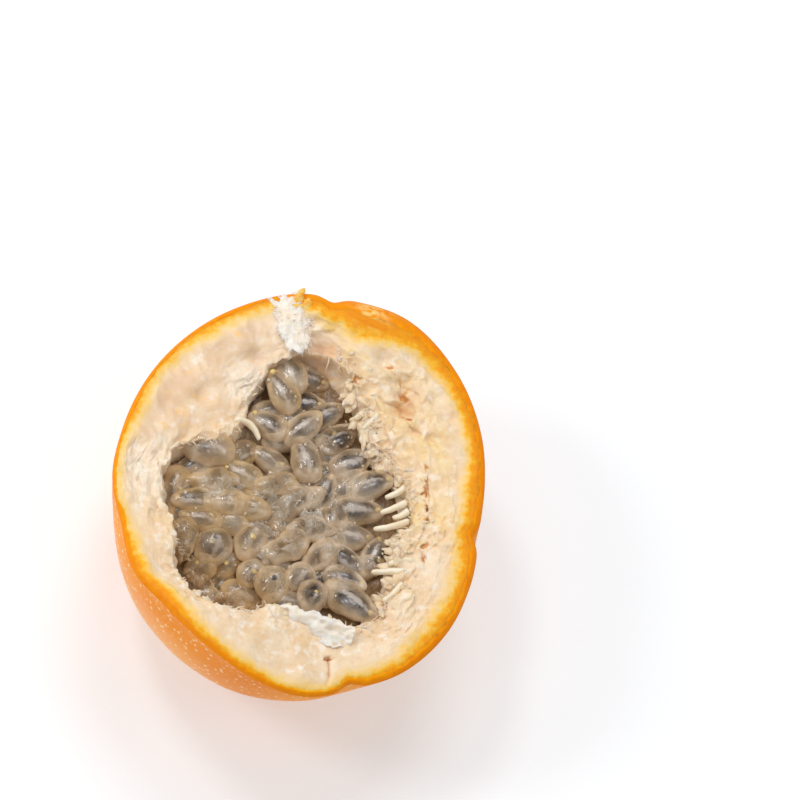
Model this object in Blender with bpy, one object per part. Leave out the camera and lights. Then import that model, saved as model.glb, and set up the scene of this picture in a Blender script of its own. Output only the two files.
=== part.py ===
"""Half of a sweet granadilla, a passion fruit with a hard orange skin, cut across its middle.

It rests on the end opposite the cut, with the cut face up. The origin is the centre of the small
flat spot it rests on, +Z is the cut face's normal, and +Y is the longer way across the cut face.
Azimuths run anticlockwise from +X. Lengths are in metres, and angles in degrees unless said.
"""

import math
import random

import bmesh
import bpy
from mathutils import Matrix, Vector, noise

# The whole half.
CUT_HEIGHT = 0.0360  # mean height of the cut face
BELLY_HEIGHT = 0.0310  # height of the widest girth, just below the cut
FLAT_RADIUS = 0.0080  # the spot it rests on
ROUNDNESS = 2.15  # 2 is an ellipse, more is squarer

# The outline of the cut, as azimuth: radius from the origin's axis.
RIM_OUTLINE = {
    4: 0.0322, 22: 0.0345, 40: 0.0368, 58: 0.0382, 74: 0.0369, 90: 0.0363, 107: 0.0347,
    126: 0.0332, 145: 0.0323, 162: 0.0320, 178: 0.0324, 193: 0.0320, 209: 0.0335, 222: 0.0331,
    239: 0.0340, 254: 0.0354, 268: 0.0362, 284: 0.0350, 299: 0.0350, 315: 0.0341, 331: 0.0326,
    350: 0.0313,
}  # fmt: skip
# The outline of the widest girth, which on the -Y side lies inside the cut's.
BELLY_OUTLINE = {
    0: 0.0319, 18: 0.0338, 36: 0.0360, 54: 0.0374, 72: 0.0370, 90: 0.0359, 108: 0.0345,
    126: 0.0331, 144: 0.0322, 162: 0.0316, 180: 0.0308, 198: 0.0314, 216: 0.0322, 234: 0.0330,
    252: 0.0337, 270: 0.0338, 288: 0.0333, 306: 0.0339, 324: 0.0330, 342: 0.0317,
}  # fmt: skip
RIM_NICKS = {79: 0.0011, 282: 0.0010, 347: 0.0009}  # azimuth: depth of a small dent
NICK_WIDTH = 3.2

# The cut isn't level: azimuth: (rise, spread) of each high and low stretch.
CUT_WAVES = {232: (0.0025, 28), 288: (-0.0020, 25), 68: (0.0020, 18)}

# The coloured skin's thickness as it shows on the cut, with the wide slanting stretch.
SKIN_BAND = 0.0016
WIDE_BAND = 0.0044
WIDE_BAND_AT = 66
WIDE_BAND_SPREAD = 15
SKIN_ROUND = 0.0011  # drop from the pith's edge to the skin's outer edge
WIDE_BAND_DROP = 0.0012  # extra drop on the slanting stretch

# The hollow for the pulp: a rounded three-lobed opening between three ridges of pith.
HOLLOW_CENTRE = Vector((-0.0023, -0.0022, 0))
HOLLOW_RADIUS = 0.0216
HOLLOW_WAVES = {2: (0.0019, 67), 3: (0.0028, -45), 4: (0.0011, -20), 5: (0.0020, 11)}
HOLLOW_FLOOR = 0.0095
WALL_CURVE = 0.7  # how the hollow narrows as its wall goes down
WALL_FALL = 1.1
BELOW_LIP = 0.12  # where the smooth wall starts, as a part of its quarter turn
LIP_DROP = 0.0016  # the pith's inner edge lies this much below its outer edge
PITH_ROUGHNESS = 0.0007
PITH_GRAIN = 0.0045  # size of the torn lumps

# Torn hollows in the pith's cut face, as (x, y, radius, depth).
PITH_PITS = (
    (0.0110, 0.0290, 0.0018, 0.0018),
    (0.0182, 0.0200, 0.0020, 0.0016),
    (0.0194, 0.0160, 0.0022, 0.0020),
    (-0.0070, 0.0240, 0.0016, 0.0018),
    (-0.0165, 0.0165, 0.0014, 0.0012),
    (0.0040, 0.0260, 0.0024, 0.0022),
)

# The seed stalks, as (root x, root y, length, heading), on the two ridges where they show.
STALKS = (
    (0.0133, 0.0177, 0.0045, 219), (0.0144, 0.0158, 0.0040, 223), (0.0118, 0.0215, 0.0030, 250),
    (0.0176, 0.0018, 0.0034, 205), (0.0180, -0.0005, 0.0042, 200), (0.0184, -0.0024, 0.0046, 184),
    (0.0189, -0.0080, 0.0040, 184), (0.0180, -0.0102, 0.0046, 180), (0.0168, -0.0136, 0.0036, 214),
    (-0.0092, 0.0142, 0.0048, 318),
)  # fmt: skip
STALK_RADIUS = 0.00068
STALK_ROOT_GIRTH = 1.3  # its radius at the root and at the tip, against the middle
STALK_TIP_GIRTH = 0.8
STALK_HEIGHT = 0.0342
STALK_ROOT = 0.0030  # how far a stalk reaches back into the pith
STALK_DIP = 2  # how far it points down

# A torn white flap of pith that leans over the pulp.
FLAP_AT = Vector((0.0020, -0.0243, 0.0345))
FLAP_LENGTH = 0.0120
FLAP_WIDTH = 0.0058
FLAP_THICKNESS = 0.0009
FLAP_HEADING = -14
FLAP_LEAN = 17
FLAP_CRUMPLE = 0.0005

# The pulp: a jelly core, and the seeds in their jelly sacs that stand out of it.
CLEARANCE = 0.0004
PULP_DROP = 0.0052  # the core's surface below the cut
BASIN_CENTRE = Vector((-0.0130, -0.0130, 0))
BASIN_RADIUS = 0.0075
BASIN_DEPTH = 0.0046
SAC_SIZE = Vector((0.0082, 0.0049, 0.0042))
SAC_SIDES = 7
SAC_RINGS = 5
SAC_LEAN = 12  # most that a sac tips up or down
SAC_SMALLEST = 0.9

# The sacs that show whole, as (x mm, y mm, heading, height above the core in mm).
SHOWN_SACS = (
    # the fan from the ridge on +X
    (7.0, 23.0, 45, 0.7), (9.7, 17.8, 33, 0.9), (7.7, 11.7, 35, 1.0), (9.7, 6.9, 28, 0.9),
    (14.5, 3.7, 15, 1.2), (10.5, -1.1, -3, 1.0), (8.9, -5.7, -5, 0.9), (15.7, -7.5, -18, 0.6),
    (12.7, -10.0, -22, 0.8), (8.1, -10.8, -30, 1.2), (7.7, -14.0, -20, 0.7), (8.6, -18.6, -38, 1.2),
    (14.7, -14.2, -10, 0.2), (9.3, 3.4, 40, 0.0),
    # the fan from the ridge on -X, +Y
    (-0.2, 21.1, -78, 1.4), (-4.0, 18.4, -45, 0.9), (-4.5, 13.6, -30, 1.1), (-7.9, 9.6, -35, 0.9),
    (-4.0, 7.3, -30, 0.9), (-14.4, 7.7, -22, 1.5), (-20.3, 5.1, -60, 0.7), (-14.6, 2.5, 0, 1.2),
    (-9.4, 4.1, -20, 0.6), (1.5, 12.9, 40, 1.5), (1.6, 7.1, -80, 1.5), (-3.8, 2.3, 10, 1.2),
    # the ones seen end on, round the basin
    (-18.0, -1.0, 5, 1.2), (-12.6, -1.3, -3, 1.2), (-8.5, -1.9, -15, 1.1), (-16.5, -3.8, -5, 0.9),
    (-12.0, -4.2, -10, 0.8), (-14.6, -8.4, 60, 1.1), (-8.1, -7.7, 70, 1.0), (-8.0, -13.0, 50, 1.4),
    (-2.3, -8.8, 30, 1.0), (-16.4, -11.4, 20, 0.6), (-11.8, -10.5, 80, 0.4), (-4.6, -15.2, 90, 0.8),
    (1.8, -17.5, 75, 0.9), (-0.2, -14.0, 30, 0.5), (2.0, -5.4, 0, 1.1), (3.3, -10.5, 40, 0.7),
    (-19.2, -7.2, 80, 0.1), (0.6, 0.0, 20, 0.9), (4.6, 1.6, 60, 0.3),
)  # fmt: skip
FILLER_SACS = 34
FILLER_SPACING = 0.0033
FILLER_HEIGHT = 0.0004
FILLER_DRAWS = 1500
FRINGE_INSET = 0.0034  # how far inside the hollow's edge the outermost sacs lie
FRINGE_STEP = 6
OUTLINE_STEPS = 12

AZIMUTH_STEPS = 84
STALK_SIDES = 6
SEED = 11
SLANT = Vector((1.0, 0.37, 0.113))  # a direction in which no two points lie level
MM = 0.001


def wrapped(angle):
    """An angle in degrees brought into -180 to 180."""
    return (angle + 180) % 360 - 180


def bump(azimuth, centre, spread):
    """1 at the centre azimuth, falling smoothly to 0 over the spread."""
    return math.exp(-((wrapped(azimuth - centre) / spread) ** 2))


def hill(point, centre, radius):
    """1 over the centre point, falling smoothly to 0 over the radius."""
    return math.exp(-((Vector(point[:2]) - Vector(centre[:2])).length / radius) ** 2)


def through(knots, azimuth):
    """The value at an azimuth on a smooth closed curve through the knots."""
    angles = sorted(knots)
    count = len(angles)
    azimuth = azimuth % 360
    after = next((i for i, angle in enumerate(angles) if angle > azimuth), 0)
    near = [angles[(after + step) % count] for step in (-2, -1, 0, 1)]
    values = [knots[angle] for angle in near]
    span = (near[2] - near[1]) % 360
    part = ((azimuth - near[1]) % 360) / span
    slopes = [
        (values[2] - values[0]) / ((near[2] - near[0]) % 360) * span,
        (values[3] - values[1]) / ((near[3] - near[1]) % 360) * span,
    ]
    rise = part * part * (3 - 2 * part)
    return (
        values[1] + (values[2] - values[1]) * rise
        + slopes[0] * part * (1 - part) ** 2
        - slopes[1] * part * part * (1 - part)
    )  # fmt: skip


def cut_height(azimuth):
    return CUT_HEIGHT + sum(rise * bump(azimuth, at, spread) for at, (rise, spread) in CUT_WAVES.items())


def rim_radius(azimuth):
    nicks = sum(depth * bump(azimuth, at, NICK_WIDTH) for at, depth in RIM_NICKS.items())
    return through(RIM_OUTLINE, azimuth) - nicks


def belly_radius(azimuth):
    return through(BELLY_OUTLINE, azimuth)


def wide_band(azimuth):
    return bump(azimuth, WIDE_BAND_AT, WIDE_BAND_SPREAD)


def pith_radius(azimuth):
    """Where the skin's colour ends and the white pith begins on the cut."""
    return rim_radius(azimuth) - SKIN_BAND - WIDE_BAND * wide_band(azimuth)


def hollow_radius(azimuth):
    """The hollow's radius at the cut, from its own centre."""
    return HOLLOW_RADIUS + sum(
        size * math.cos(math.radians(count * (azimuth - at))) for count, (size, at) in HOLLOW_WAVES.items()
    )


def around_axis(radius, height, azimuth, centre=Vector((0, 0, 0))):
    turn = math.radians(azimuth)
    return centre + Vector((radius * math.cos(turn), radius * math.sin(turn), height))


def lumpy(point, size):
    """The point moved a little each way, as torn pith is."""
    spot = point / PITH_GRAIN
    shifts = (Vector((0, 0, 0)), Vector((37, 11, 5)), Vector((3, 71, 29)))
    return point + size * Vector([noise.noise(spot + shift) for shift in shifts])


def pulp_surface(x, y):
    """Height of the jelly core's top."""
    return CUT_HEIGHT - PULP_DROP - BASIN_DEPTH * hill((x, y), BASIN_CENTRE, BASIN_RADIUS)


def skin_point(part, azimuth):
    """On the outer skin: part 0 is the flat spot's edge, 1 the widest girth."""
    widest = belly_radius(azimuth)
    lowest = math.asin(min(1, FLAT_RADIUS / widest) ** (ROUNDNESS / 2))
    angle = lowest + (math.pi / 2 - lowest) * part
    flat_drop = math.cos(lowest) ** (2 / ROUNDNESS)
    radius = widest * math.sin(angle) ** (2 / ROUNDNESS)
    height = BELLY_HEIGHT * (1 - max(0, math.cos(angle)) ** (2 / ROUNDNESS) / flat_drop)
    return around_axis(radius, height, azimuth)


def shoulder_point(part, azimuth):
    """Between the widest girth and the skin's cut edge."""
    top = cut_height(azimuth) - SKIN_ROUND - WIDE_BAND_DROP * wide_band(azimuth)
    radius = belly_radius(azimuth) + (rim_radius(azimuth) - belly_radius(azimuth)) * part * part
    return around_axis(radius, BELLY_HEIGHT + (top - BELLY_HEIGHT) * part, azimuth)


def hollow_edge(azimuth):
    edge = around_axis(hollow_radius(azimuth), 0, azimuth, HOLLOW_CENTRE)
    edge.z = cut_height(math.degrees(math.atan2(edge.y, edge.x))) - LIP_DROP
    return edge


def pith_point(part, azimuth):
    """On the pith's cut face: part 0 is the skin's band, 1 the hollow's edge."""
    outer = around_axis(pith_radius(azimuth), cut_height(azimuth), azimuth)
    point = outer.lerp(hollow_edge(azimuth), part)
    point.z -= sum(depth * hill(point, (x, y), radius) for x, y, radius, depth in PITH_PITS)
    return lumpy(point, PITH_ROUGHNESS * min(1, 4 * part))


def wall_point(part, azimuth, inset=0.0):
    """Down the hollow's wall and over its floor: part 0 is the edge, 1 the floor's centre."""
    down = math.radians(90 * part)
    radius = (hollow_radius(azimuth) - inset) * math.cos(down) ** WALL_CURVE
    top = CUT_HEIGHT - LIP_DROP
    height = top - (top - HOLLOW_FLOOR - inset) * math.sin(down) ** WALL_FALL
    return around_axis(radius, height, azimuth, HOLLOW_CENTRE)


def turned(name, stations):
    """A closed body of revolution, reshaped: each station gives its point for an azimuth."""
    mesh = bmesh.new()
    station = mesh.verts.layers.int.new("station")
    profile = []
    last = len(stations) - 1
    for index in range(len(stations)):
        bulge = math.sin(math.pi * index / last)
        vertex = mesh.verts.new((bulge, 0, index / last))
        vertex[station] = index
        profile.append(vertex)
    edges = [mesh.edges.new(pair) for pair in zip(profile, profile[1:])]
    bmesh.ops.spin(
        mesh, geom=profile + edges, cent=(0, 0, 0), axis=(0, 0, 1), angle=math.tau,
        steps=AZIMUTH_STEPS, use_merge=True,
    )  # fmt: skip
    bmesh.ops.remove_doubles(mesh, verts=mesh.verts, dist=1e-6)
    for vertex in mesh.verts:
        azimuth = math.degrees(math.atan2(vertex.co.y, vertex.co.x))
        vertex.co = stations[vertex[station]](azimuth)
    if mesh.calc_volume(signed=True) < 0:
        bmesh.ops.reverse_faces(mesh, faces=mesh.faces)
    return as_object(name, mesh)


def as_object(name, mesh):
    """The mesh as an object, its points and faces in a fixed order, so that a union repeats exactly."""
    mesh.verts.sort(key=lambda vertex: vertex.co.dot(SLANT))
    mesh.faces.sort(key=lambda face: face.calc_center_median().dot(SLANT))
    data = bpy.data.meshes.new(name)
    mesh.to_mesh(data)
    mesh.free()
    obj = bpy.data.objects.new(name, data)
    bpy.context.scene.collection.objects.link(obj)
    return obj


def stations_of(function, count, first=0.0, last=1.0, **fixed):
    """Evenly spaced stations along one stretch of the profile."""
    parts = [first + (last - first) * step / (count - 1) for step in range(count)]
    return [lambda azimuth, part=part: function(part, azimuth, **fixed) for part in parts]


def rind_body():
    """Skin and pith in one, from the flat spot up the outside, over the cut and down the hollow."""
    stations = [lambda azimuth: Vector((0, 0, 0))]
    stations += stations_of(skin_point, 9)
    stations += stations_of(shoulder_point, 3, first=0.4)
    stations += stations_of(pith_point, 5)
    stations += stations_of(wall_point, 8, first=BELOW_LIP)
    return turned("rind", stations)


def stalk(number, x, y, length, heading):
    """A tapered seed stalk with a rounded tip, rooted in the pith."""
    mesh = bmesh.new()
    whole = length + STALK_ROOT
    bmesh.ops.create_cone(
        mesh, cap_ends=True, segments=STALK_SIDES, radius1=STALK_RADIUS * STALK_ROOT_GIRTH,
        radius2=STALK_RADIUS * STALK_TIP_GIRTH, depth=whole,
    )  # fmt: skip
    tip = [face for face in mesh.faces if face.normal.z > 0.9]
    rounding = STALK_RADIUS * STALK_TIP_GIRTH / 2
    bmesh.ops.inset_region(mesh, faces=tip, thickness=rounding)
    bmesh.ops.translate(mesh, verts=tip[0].verts, vec=(0, 0, rounding))
    bmesh.ops.translate(mesh, verts=mesh.verts, vec=(0, 0, whole / 2 - STALK_ROOT))
    turn = Matrix.Rotation(math.radians(90 + STALK_DIP), 4, "Y")
    turn = Matrix.Rotation(math.radians(heading), 4, "Z") @ turn
    bmesh.ops.transform(mesh, matrix=Matrix.Translation((x, y, STALK_HEIGHT)) @ turn, verts=mesh.verts)
    return as_object(f"stalk_{number}", mesh)


def flap():
    """The torn flap: a thin crumpled sheet, thicker where it joins the pith."""
    mesh = bmesh.new()
    bmesh.ops.create_grid(mesh, x_segments=7, y_segments=4, size=0.5)
    for vertex in mesh.verts:
        along, across, _ = vertex.co
        fold = noise.noise(Vector((along * 4, across * 3, 0.4)))
        torn = 1 - 1.8 * along * along + 0.35 * noise.noise(Vector((along * 7, 0.3, 0.9)))
        vertex.co = Vector((along * FLAP_LENGTH, across * FLAP_WIDTH * torn, fold * FLAP_CRUMPLE))
    bmesh.ops.solidify(mesh, geom=mesh.faces, thickness=FLAP_THICKNESS)
    bmesh.ops.recalc_face_normals(mesh, faces=mesh.faces)
    lean = Matrix.Rotation(math.radians(FLAP_LEAN), 4, "X")
    turn = Matrix.Rotation(math.radians(FLAP_HEADING), 4, "Z") @ lean
    bmesh.ops.transform(mesh, matrix=Matrix.Translation(FLAP_AT) @ turn, verts=mesh.verts)
    return as_object("flap", mesh)


def core_point(part, azimuth):
    """On the core's top: part 0 is its edge, 1 its centre."""
    reach = (hollow_radius(azimuth) - CLEARANCE - 0.0006) * (1 - part)
    point = around_axis(reach, 0, azimuth, HOLLOW_CENTRE)
    point.z = pulp_surface(point.x, point.y)
    return point


def core_side(part, azimuth):
    """The core's side and underside, inside the hollow's wall."""
    return wall_point(part, azimuth, inset=CLEARANCE)


def pulp_core():
    stations = stations_of(core_point, 7)[::-1]
    stations += stations_of(core_side, 7, first=2 * BELOW_LIP)
    return turned("pulp", stations)


def stalk_ends(x, y, length, heading):
    root = Vector((x, y, STALK_HEIGHT))
    return root, root + around_axis(length, 0, heading)


def clear_of_stalks(centre, heading):
    """Whether a sac there stays clear of every seed stalk."""
    reach = around_axis(SAC_SIZE.x / 2 - SAC_SIZE.y / 2, 0, heading)
    along = [centre + reach * (step / 4) for step in range(-4, 5)]
    for stalk_size in STALKS:
        root, tip = stalk_ends(*stalk_size)
        for step in range(7):
            point = root.lerp(tip, step / 6)
            if min((point - spot).length for spot in along) < SAC_SIZE.y / 2 + STALK_RADIUS + CLEARANCE:
                return False
    return True


def hollow_reach(azimuth, height):
    """The hollow's radius at a height, as its wall curves in below the cut."""
    top = CUT_HEIGHT - LIP_DROP
    drop = min(1, max(0, (top - height) / (top - HOLLOW_FLOOR)))
    return hollow_radius(azimuth) * math.cos(math.asin(drop ** (1 / WALL_FALL))) ** WALL_CURVE


def clear_of_wall(centre, heading):
    """Whether a sac's whole outline, seen from above, stays inside the hollow."""
    for step in range(OUTLINE_STEPS):
        turn = math.tau * step / OUTLINE_STEPS
        edge = Vector((SAC_SIZE.x / 2 * math.cos(turn), SAC_SIZE.y / 2 * math.sin(turn), 0))
        edge = centre - HOLLOW_CENTRE + Matrix.Rotation(math.radians(heading), 3, "Z") @ edge
        azimuth = math.degrees(math.atan2(edge.y, edge.x))
        if Vector(edge[:2]).length > hollow_reach(azimuth, centre.z) - CLEARANCE:
            return False
    return True


def settled(centre, heading):
    """A sac's place, moved inwards off the wall and down off the stalks."""
    centre = centre.copy()
    inwards = (HOLLOW_CENTRE - centre).normalized() * 0.0004
    inwards.z = 0
    for _ in range(12):
        if clear_of_wall(centre, heading):
            break
        centre += inwards
    for _ in range(8):
        if clear_of_stalks(centre, heading):
            return centre if clear_of_wall(centre, heading) else None
        centre.z -= 0.0004
    return None


def sac(number, centre, heading, lean, size):
    """One seed in its sac, as a low-sided ellipsoid."""
    mesh = bmesh.new()
    bmesh.ops.create_uvsphere(mesh, u_segments=SAC_SIDES, v_segments=SAC_RINGS, radius=0.5)
    turn = (
        Matrix.Rotation(math.radians(heading), 4, "Z") @ Matrix.Rotation(math.radians(lean), 4, "Y")
        @ Matrix.Diagonal(SAC_SIZE * size).to_4x4() @ Matrix.Rotation(math.radians(90), 4, "Y")
    )  # fmt: skip
    bmesh.ops.transform(mesh, matrix=Matrix.Translation(centre) @ turn, verts=mesh.verts)
    return as_object(f"sac_{number}", mesh)


def sac_places():
    """Where each sac lies, as (centre, heading): the shown ones, then seeded fillers between them."""
    draw = random.Random(SEED)
    places = []
    for x, y, heading, height in SHOWN_SACS:
        centre = Vector((x * MM, y * MM, 0))
        centre.z = pulp_surface(centre.x, centre.y) + height * MM
        place = settled(centre, heading)
        if place:
            places.append((place, heading))
    fringe = [(hollow_radius(turn) - FRINGE_INSET, turn, turn + 90) for turn in range(0, 360, FRINGE_STEP)]
    within = [
        (HOLLOW_RADIUS * math.sqrt(draw.random()), draw.uniform(0, 360), draw.uniform(0, 180))
        for _ in range(FILLER_DRAWS)
    ]
    wanted = len(places) + FILLER_SACS
    for reach, turn, heading in fringe + within:
        spot = around_axis(reach, 0, turn, HOLLOW_CENTRE)
        spot.z = pulp_surface(spot.x, spot.y) + FILLER_HEIGHT
        apart = min((Vector(spot[:2]) - Vector(other[:2])).length for other, _ in places)
        fits = apart > FILLER_SPACING and clear_of_wall(spot, heading) and clear_of_stalks(spot, heading)
        if fits and len(places) < wanted:
            places.append((spot, heading))
    return places


def sacs():
    draw = random.Random(SEED + 1)
    made = []
    for number, (centre, heading) in enumerate(sac_places()):
        lean = draw.uniform(-SAC_LEAN, SAC_LEAN)
        made.append(sac(number, centre, heading, lean, draw.uniform(SAC_SMALLEST, 1)))
    return made


def islands(mesh):
    """The mesh's separate closed surfaces, each as a list of its vertices."""
    found = []
    seen = set()
    for start in mesh.verts:
        if start in seen:
            continue
        seen.add(start)
        group = [start]
        for vertex in group:
            for edge in vertex.link_edges:
                other = edge.other_vert(vertex)
                if other not in seen:
                    seen.add(other)
                    group.append(other)
        found.append(group)
    return found


def without_pockets(data):
    """Drops the hollows that the joined pieces seal between them, and any loose scrap."""
    mesh = bmesh.new()
    mesh.from_mesh(data)
    for group in sorted(islands(mesh), key=len)[:-1]:
        bmesh.ops.delete(mesh, geom=group, context="VERTS")
    mesh.to_mesh(data)
    mesh.free()
    return data


def fused(body, pieces):
    """The body with the pieces joined to it by one union, and the pieces removed."""
    group = bpy.data.collections.new(f"{body.name}_pieces")
    for piece in pieces:
        bpy.context.scene.collection.objects.unlink(piece)
        group.objects.link(piece)
    bpy.context.scene.collection.children.link(group)
    union = body.modifiers.new("union", "BOOLEAN")
    union.operation = "UNION"
    union.operand_type = "COLLECTION"
    union.collection = group
    union.solver = "MANIFOLD"  # EXACT leaves open seams where this many pieces cross
    bpy.context.view_layer.update()
    graph = bpy.context.evaluated_depsgraph_get()
    joined = without_pockets(bpy.data.meshes.new_from_object(body.evaluated_get(graph)))
    body.modifiers.clear()
    body.data = joined
    for piece in pieces:
        bpy.data.objects.remove(piece)
    bpy.data.collections.remove(group)
    return body


def finish(obj, colour, roughness):
    """The piece's material, and smooth shading across its soft edges."""
    material = bpy.data.materials.new(obj.name)
    material.use_nodes = True
    shader = material.node_tree.nodes["Principled BSDF"]
    shader.inputs["Base Color"].default_value = (*colour, 1)
    shader.inputs["Roughness"].default_value = roughness
    shader.inputs["Metallic"].default_value = 0.0
    obj.data.materials.clear()
    obj.data.materials.append(material)
    obj.data.shade_smooth()
    obj.data.set_sharp_from_angle(angle=math.radians(50))


def main():
    for obj in list(bpy.data.objects):
        bpy.data.objects.remove(obj)
    stalks = [stalk(number, *sizes) for number, sizes in enumerate(STALKS)]
    finish(fused(rind_body(), stalks + [flap()]), colour=(0.90, 0.48, 0.06), roughness=0.45)
    finish(fused(pulp_core(), sacs()), colour=(0.36, 0.30, 0.22), roughness=0.20)


main()
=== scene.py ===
# Half of a sweet granadilla, cut face up: speckled orange skin, torn white pith, grey pulp.
# Azimuths run anticlockwise from +X. Lengths are in metres, and angles in degrees unless said.
import math
import random
from functools import lru_cache

import bmesh
import bpy
from mathutils import Matrix, Vector, noise


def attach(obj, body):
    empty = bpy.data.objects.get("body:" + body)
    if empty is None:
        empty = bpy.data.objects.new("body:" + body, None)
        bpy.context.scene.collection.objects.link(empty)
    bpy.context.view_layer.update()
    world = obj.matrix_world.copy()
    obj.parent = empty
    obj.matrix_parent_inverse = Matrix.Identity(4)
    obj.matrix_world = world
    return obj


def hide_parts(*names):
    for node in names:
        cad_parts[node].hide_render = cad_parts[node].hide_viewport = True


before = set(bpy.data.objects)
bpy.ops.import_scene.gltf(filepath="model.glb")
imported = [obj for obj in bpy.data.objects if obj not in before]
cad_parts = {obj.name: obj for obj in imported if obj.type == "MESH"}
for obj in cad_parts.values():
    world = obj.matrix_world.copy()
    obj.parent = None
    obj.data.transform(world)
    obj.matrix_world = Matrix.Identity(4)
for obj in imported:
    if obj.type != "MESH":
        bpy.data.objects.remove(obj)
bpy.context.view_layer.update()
mm = 0.001
print("frame loaded:", ", ".join(sorted(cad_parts)))


def linear(red, green, blue):
    # a screen colour, 0 to 255, as the shader wants it
    def part(value):
        value /= 255
        return value / 12.92 if value <= 0.04045 else ((value + 0.055) / 1.055) ** 2.4

    return (part(red), part(green), part(blue), 1)


class Value:
    # wraps a socket, so that shader sums read as plain Python
    def __init__(self, paint, socket):
        self.paint = paint
        self.socket = socket

    def sum(self, operation, first, second):
        return self.paint.node("ShaderNodeMath", {"operation": operation}, {0: first, 1: second})

    def __add__(self, other):
        return self.sum("ADD", self, other)

    def __radd__(self, other):
        return self.sum("ADD", other, self)

    def __sub__(self, other):
        return self.sum("SUBTRACT", self, other)

    def __rsub__(self, other):
        return self.sum("SUBTRACT", other, self)

    def __mul__(self, other):
        return self.sum("MULTIPLY", self, other)

    def __rmul__(self, other):
        return self.sum("MULTIPLY", other, self)


class Paint:
    # one material, built node by node
    def __init__(self, name, **constants):
        self.material = bpy.data.materials.new(name)
        self.material.use_nodes = True
        self.tree = self.material.node_tree
        self.shader = self.tree.nodes["Principled BSDF"]
        for socket, value in constants.items():
            self.put(self.shader.inputs[socket.replace("_", " ")], value)

    def put(self, socket, value):
        if isinstance(value, Value):
            self.tree.links.new(value.socket, socket)
        else:
            socket.default_value = value

    def node(self, kind, settings=None, values=None, output=0):
        made = self.tree.nodes.new(kind)
        for name, setting in (settings or {}).items():
            if name == "stops":
                while len(made.color_ramp.elements) < len(setting):
                    made.color_ramp.elements.new(0.5)
                for stop, (place, colour) in zip(made.color_ramp.elements, setting):
                    stop.position = place
                    stop.color = colour
            else:
                setattr(made, name, setting)
        for name, value in (values or {}).items():
            self.put(made.inputs[name], value)
        return Value(self, made.outputs[output])

    def place(self):
        return self.node("ShaderNodeTexCoord", output="Object")

    def noise(self, size, detail=3.0, rough=0.55):
        sockets = {"Vector": self.place(), "Scale": 1 / size, "Detail": detail, "Roughness": rough}
        return self.node("ShaderNodeTexNoise", {}, sockets, output="Fac")

    def cells(self, size):
        return self.node("ShaderNodeTexVoronoi", {}, {"Vector": self.place(), "Scale": 1 / size}, output="Distance")

    def attribute(self, name):
        return self.node("ShaderNodeAttribute", {"attribute_name": name}, output="Fac")

    def between(self, value, low, high):
        # 0 below low, 1 above high, smooth between
        ranges = {"Value": value, "From Min": low, "From Max": high, "To Min": 0.0, "To Max": 1.0}
        return self.node("ShaderNodeMapRange", {"interpolation_type": "SMOOTHSTEP"}, ranges)

    def patchy(self, size, detail, low, high):
        # noise cut into patches with soft edges
        return self.between(self.noise(size, detail), low, high)

    def ramp(self, value, stops):
        return self.node("ShaderNodeValToRGB", {"stops": stops}, {0: value})

    def mix(self, factor, first, second):
        return self.node("ShaderNodeMix", {"data_type": "RGBA"}, {0: factor, 6: first, 7: second}, output=2)

    def bump(self, height, distance, strength):
        return self.node("ShaderNodeBump", {}, {"Height": height, "Distance": distance, "Strength": strength})

    def seeThrough(self, cover):
        # lets what lies behind show, by how little the cover hides
        clear = self.node("ShaderNodeBsdfTransparent")
        body = Value(self, self.shader.outputs["BSDF"])
        both = self.node("ShaderNodeMixShader", {}, {0: cover, 1: clear, 2: body})
        self.put(self.tree.nodes["Material Output"].inputs["Surface"], both)

    def facing(self, blend):
        return self.node("ShaderNodeLayerWeight", {}, {"Blend": blend}, output="Facing")

    def finish(self, **sockets):
        for name, value in sockets.items():
            self.put(self.shader.inputs[name.replace("_", " ")], value)
        return self.material


def addPiece(name, mesh, material, node):
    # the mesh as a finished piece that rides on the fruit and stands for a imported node
    mesh.normal_update()
    data = bpy.data.meshes.new(name)
    mesh.to_mesh(data)
    mesh.free()
    data.shade_smooth()
    data.materials.append(material)
    piece = bpy.data.objects.new(name, data)
    bpy.context.scene.collection.objects.link(piece)
    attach(piece, "root")
    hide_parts(node)
    print(f"{name}: {len(data.polygons)} faces")
    return piece


# ---- camera, lights and floor come first

view = {
    "tilt": 27,  # how far the camera leans from straight above the cut
    "towards": 237,
    "distance": 0.80,
    "lens": 214.3,
    "aim": (0.0163, 0.0151),  # metres right of and above the cut's centre, in the picture
    "floorSize": 3.0,
    "floorGlow": 0.27,
    "daylight": 0.46,  # from all round
}
cutHeight = 0.0360
leanAxis = Vector((-math.sin(math.radians(view["towards"])), math.cos(math.radians(view["towards"])), 0))
leaning = Matrix.Rotation(math.radians(view["tilt"]), 3, leanAxis)
rightward, upward, backward = leaning.col


def makeCamera():
    camera = bpy.data.objects.new("camera", bpy.data.cameras.new("camera"))
    camera.data.lens = view["lens"]
    camera.data.sensor_width = 36
    camera.data.clip_start = 0.01
    camera.data.clip_end = 20
    target = Vector((0, 0, cutHeight)) + rightward * view["aim"][0] + upward * view["aim"][1]
    camera.matrix_world = Matrix.Translation(target + backward * view["distance"]) @ leaning.to_4x4()
    bpy.context.scene.collection.objects.link(camera)
    bpy.context.scene.camera = camera


# each light: right, up and towards the camera from the fruit, size, power
lights = {
    "top": ((0.20, 0.66, 0.55), 0.34, 1.8),
    "right": ((0.80, 0.10, 0.45), 0.40, 0.7),
    "left": ((-0.85, -0.25, 0.45), 0.80, 1.1),
    "glintTop": ((-0.14, 0.58, 0.68), 0.16, 1.35),
    "glintSide": ((-0.45, 0.30, 0.60), 0.20, 1.35),
}


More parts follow.
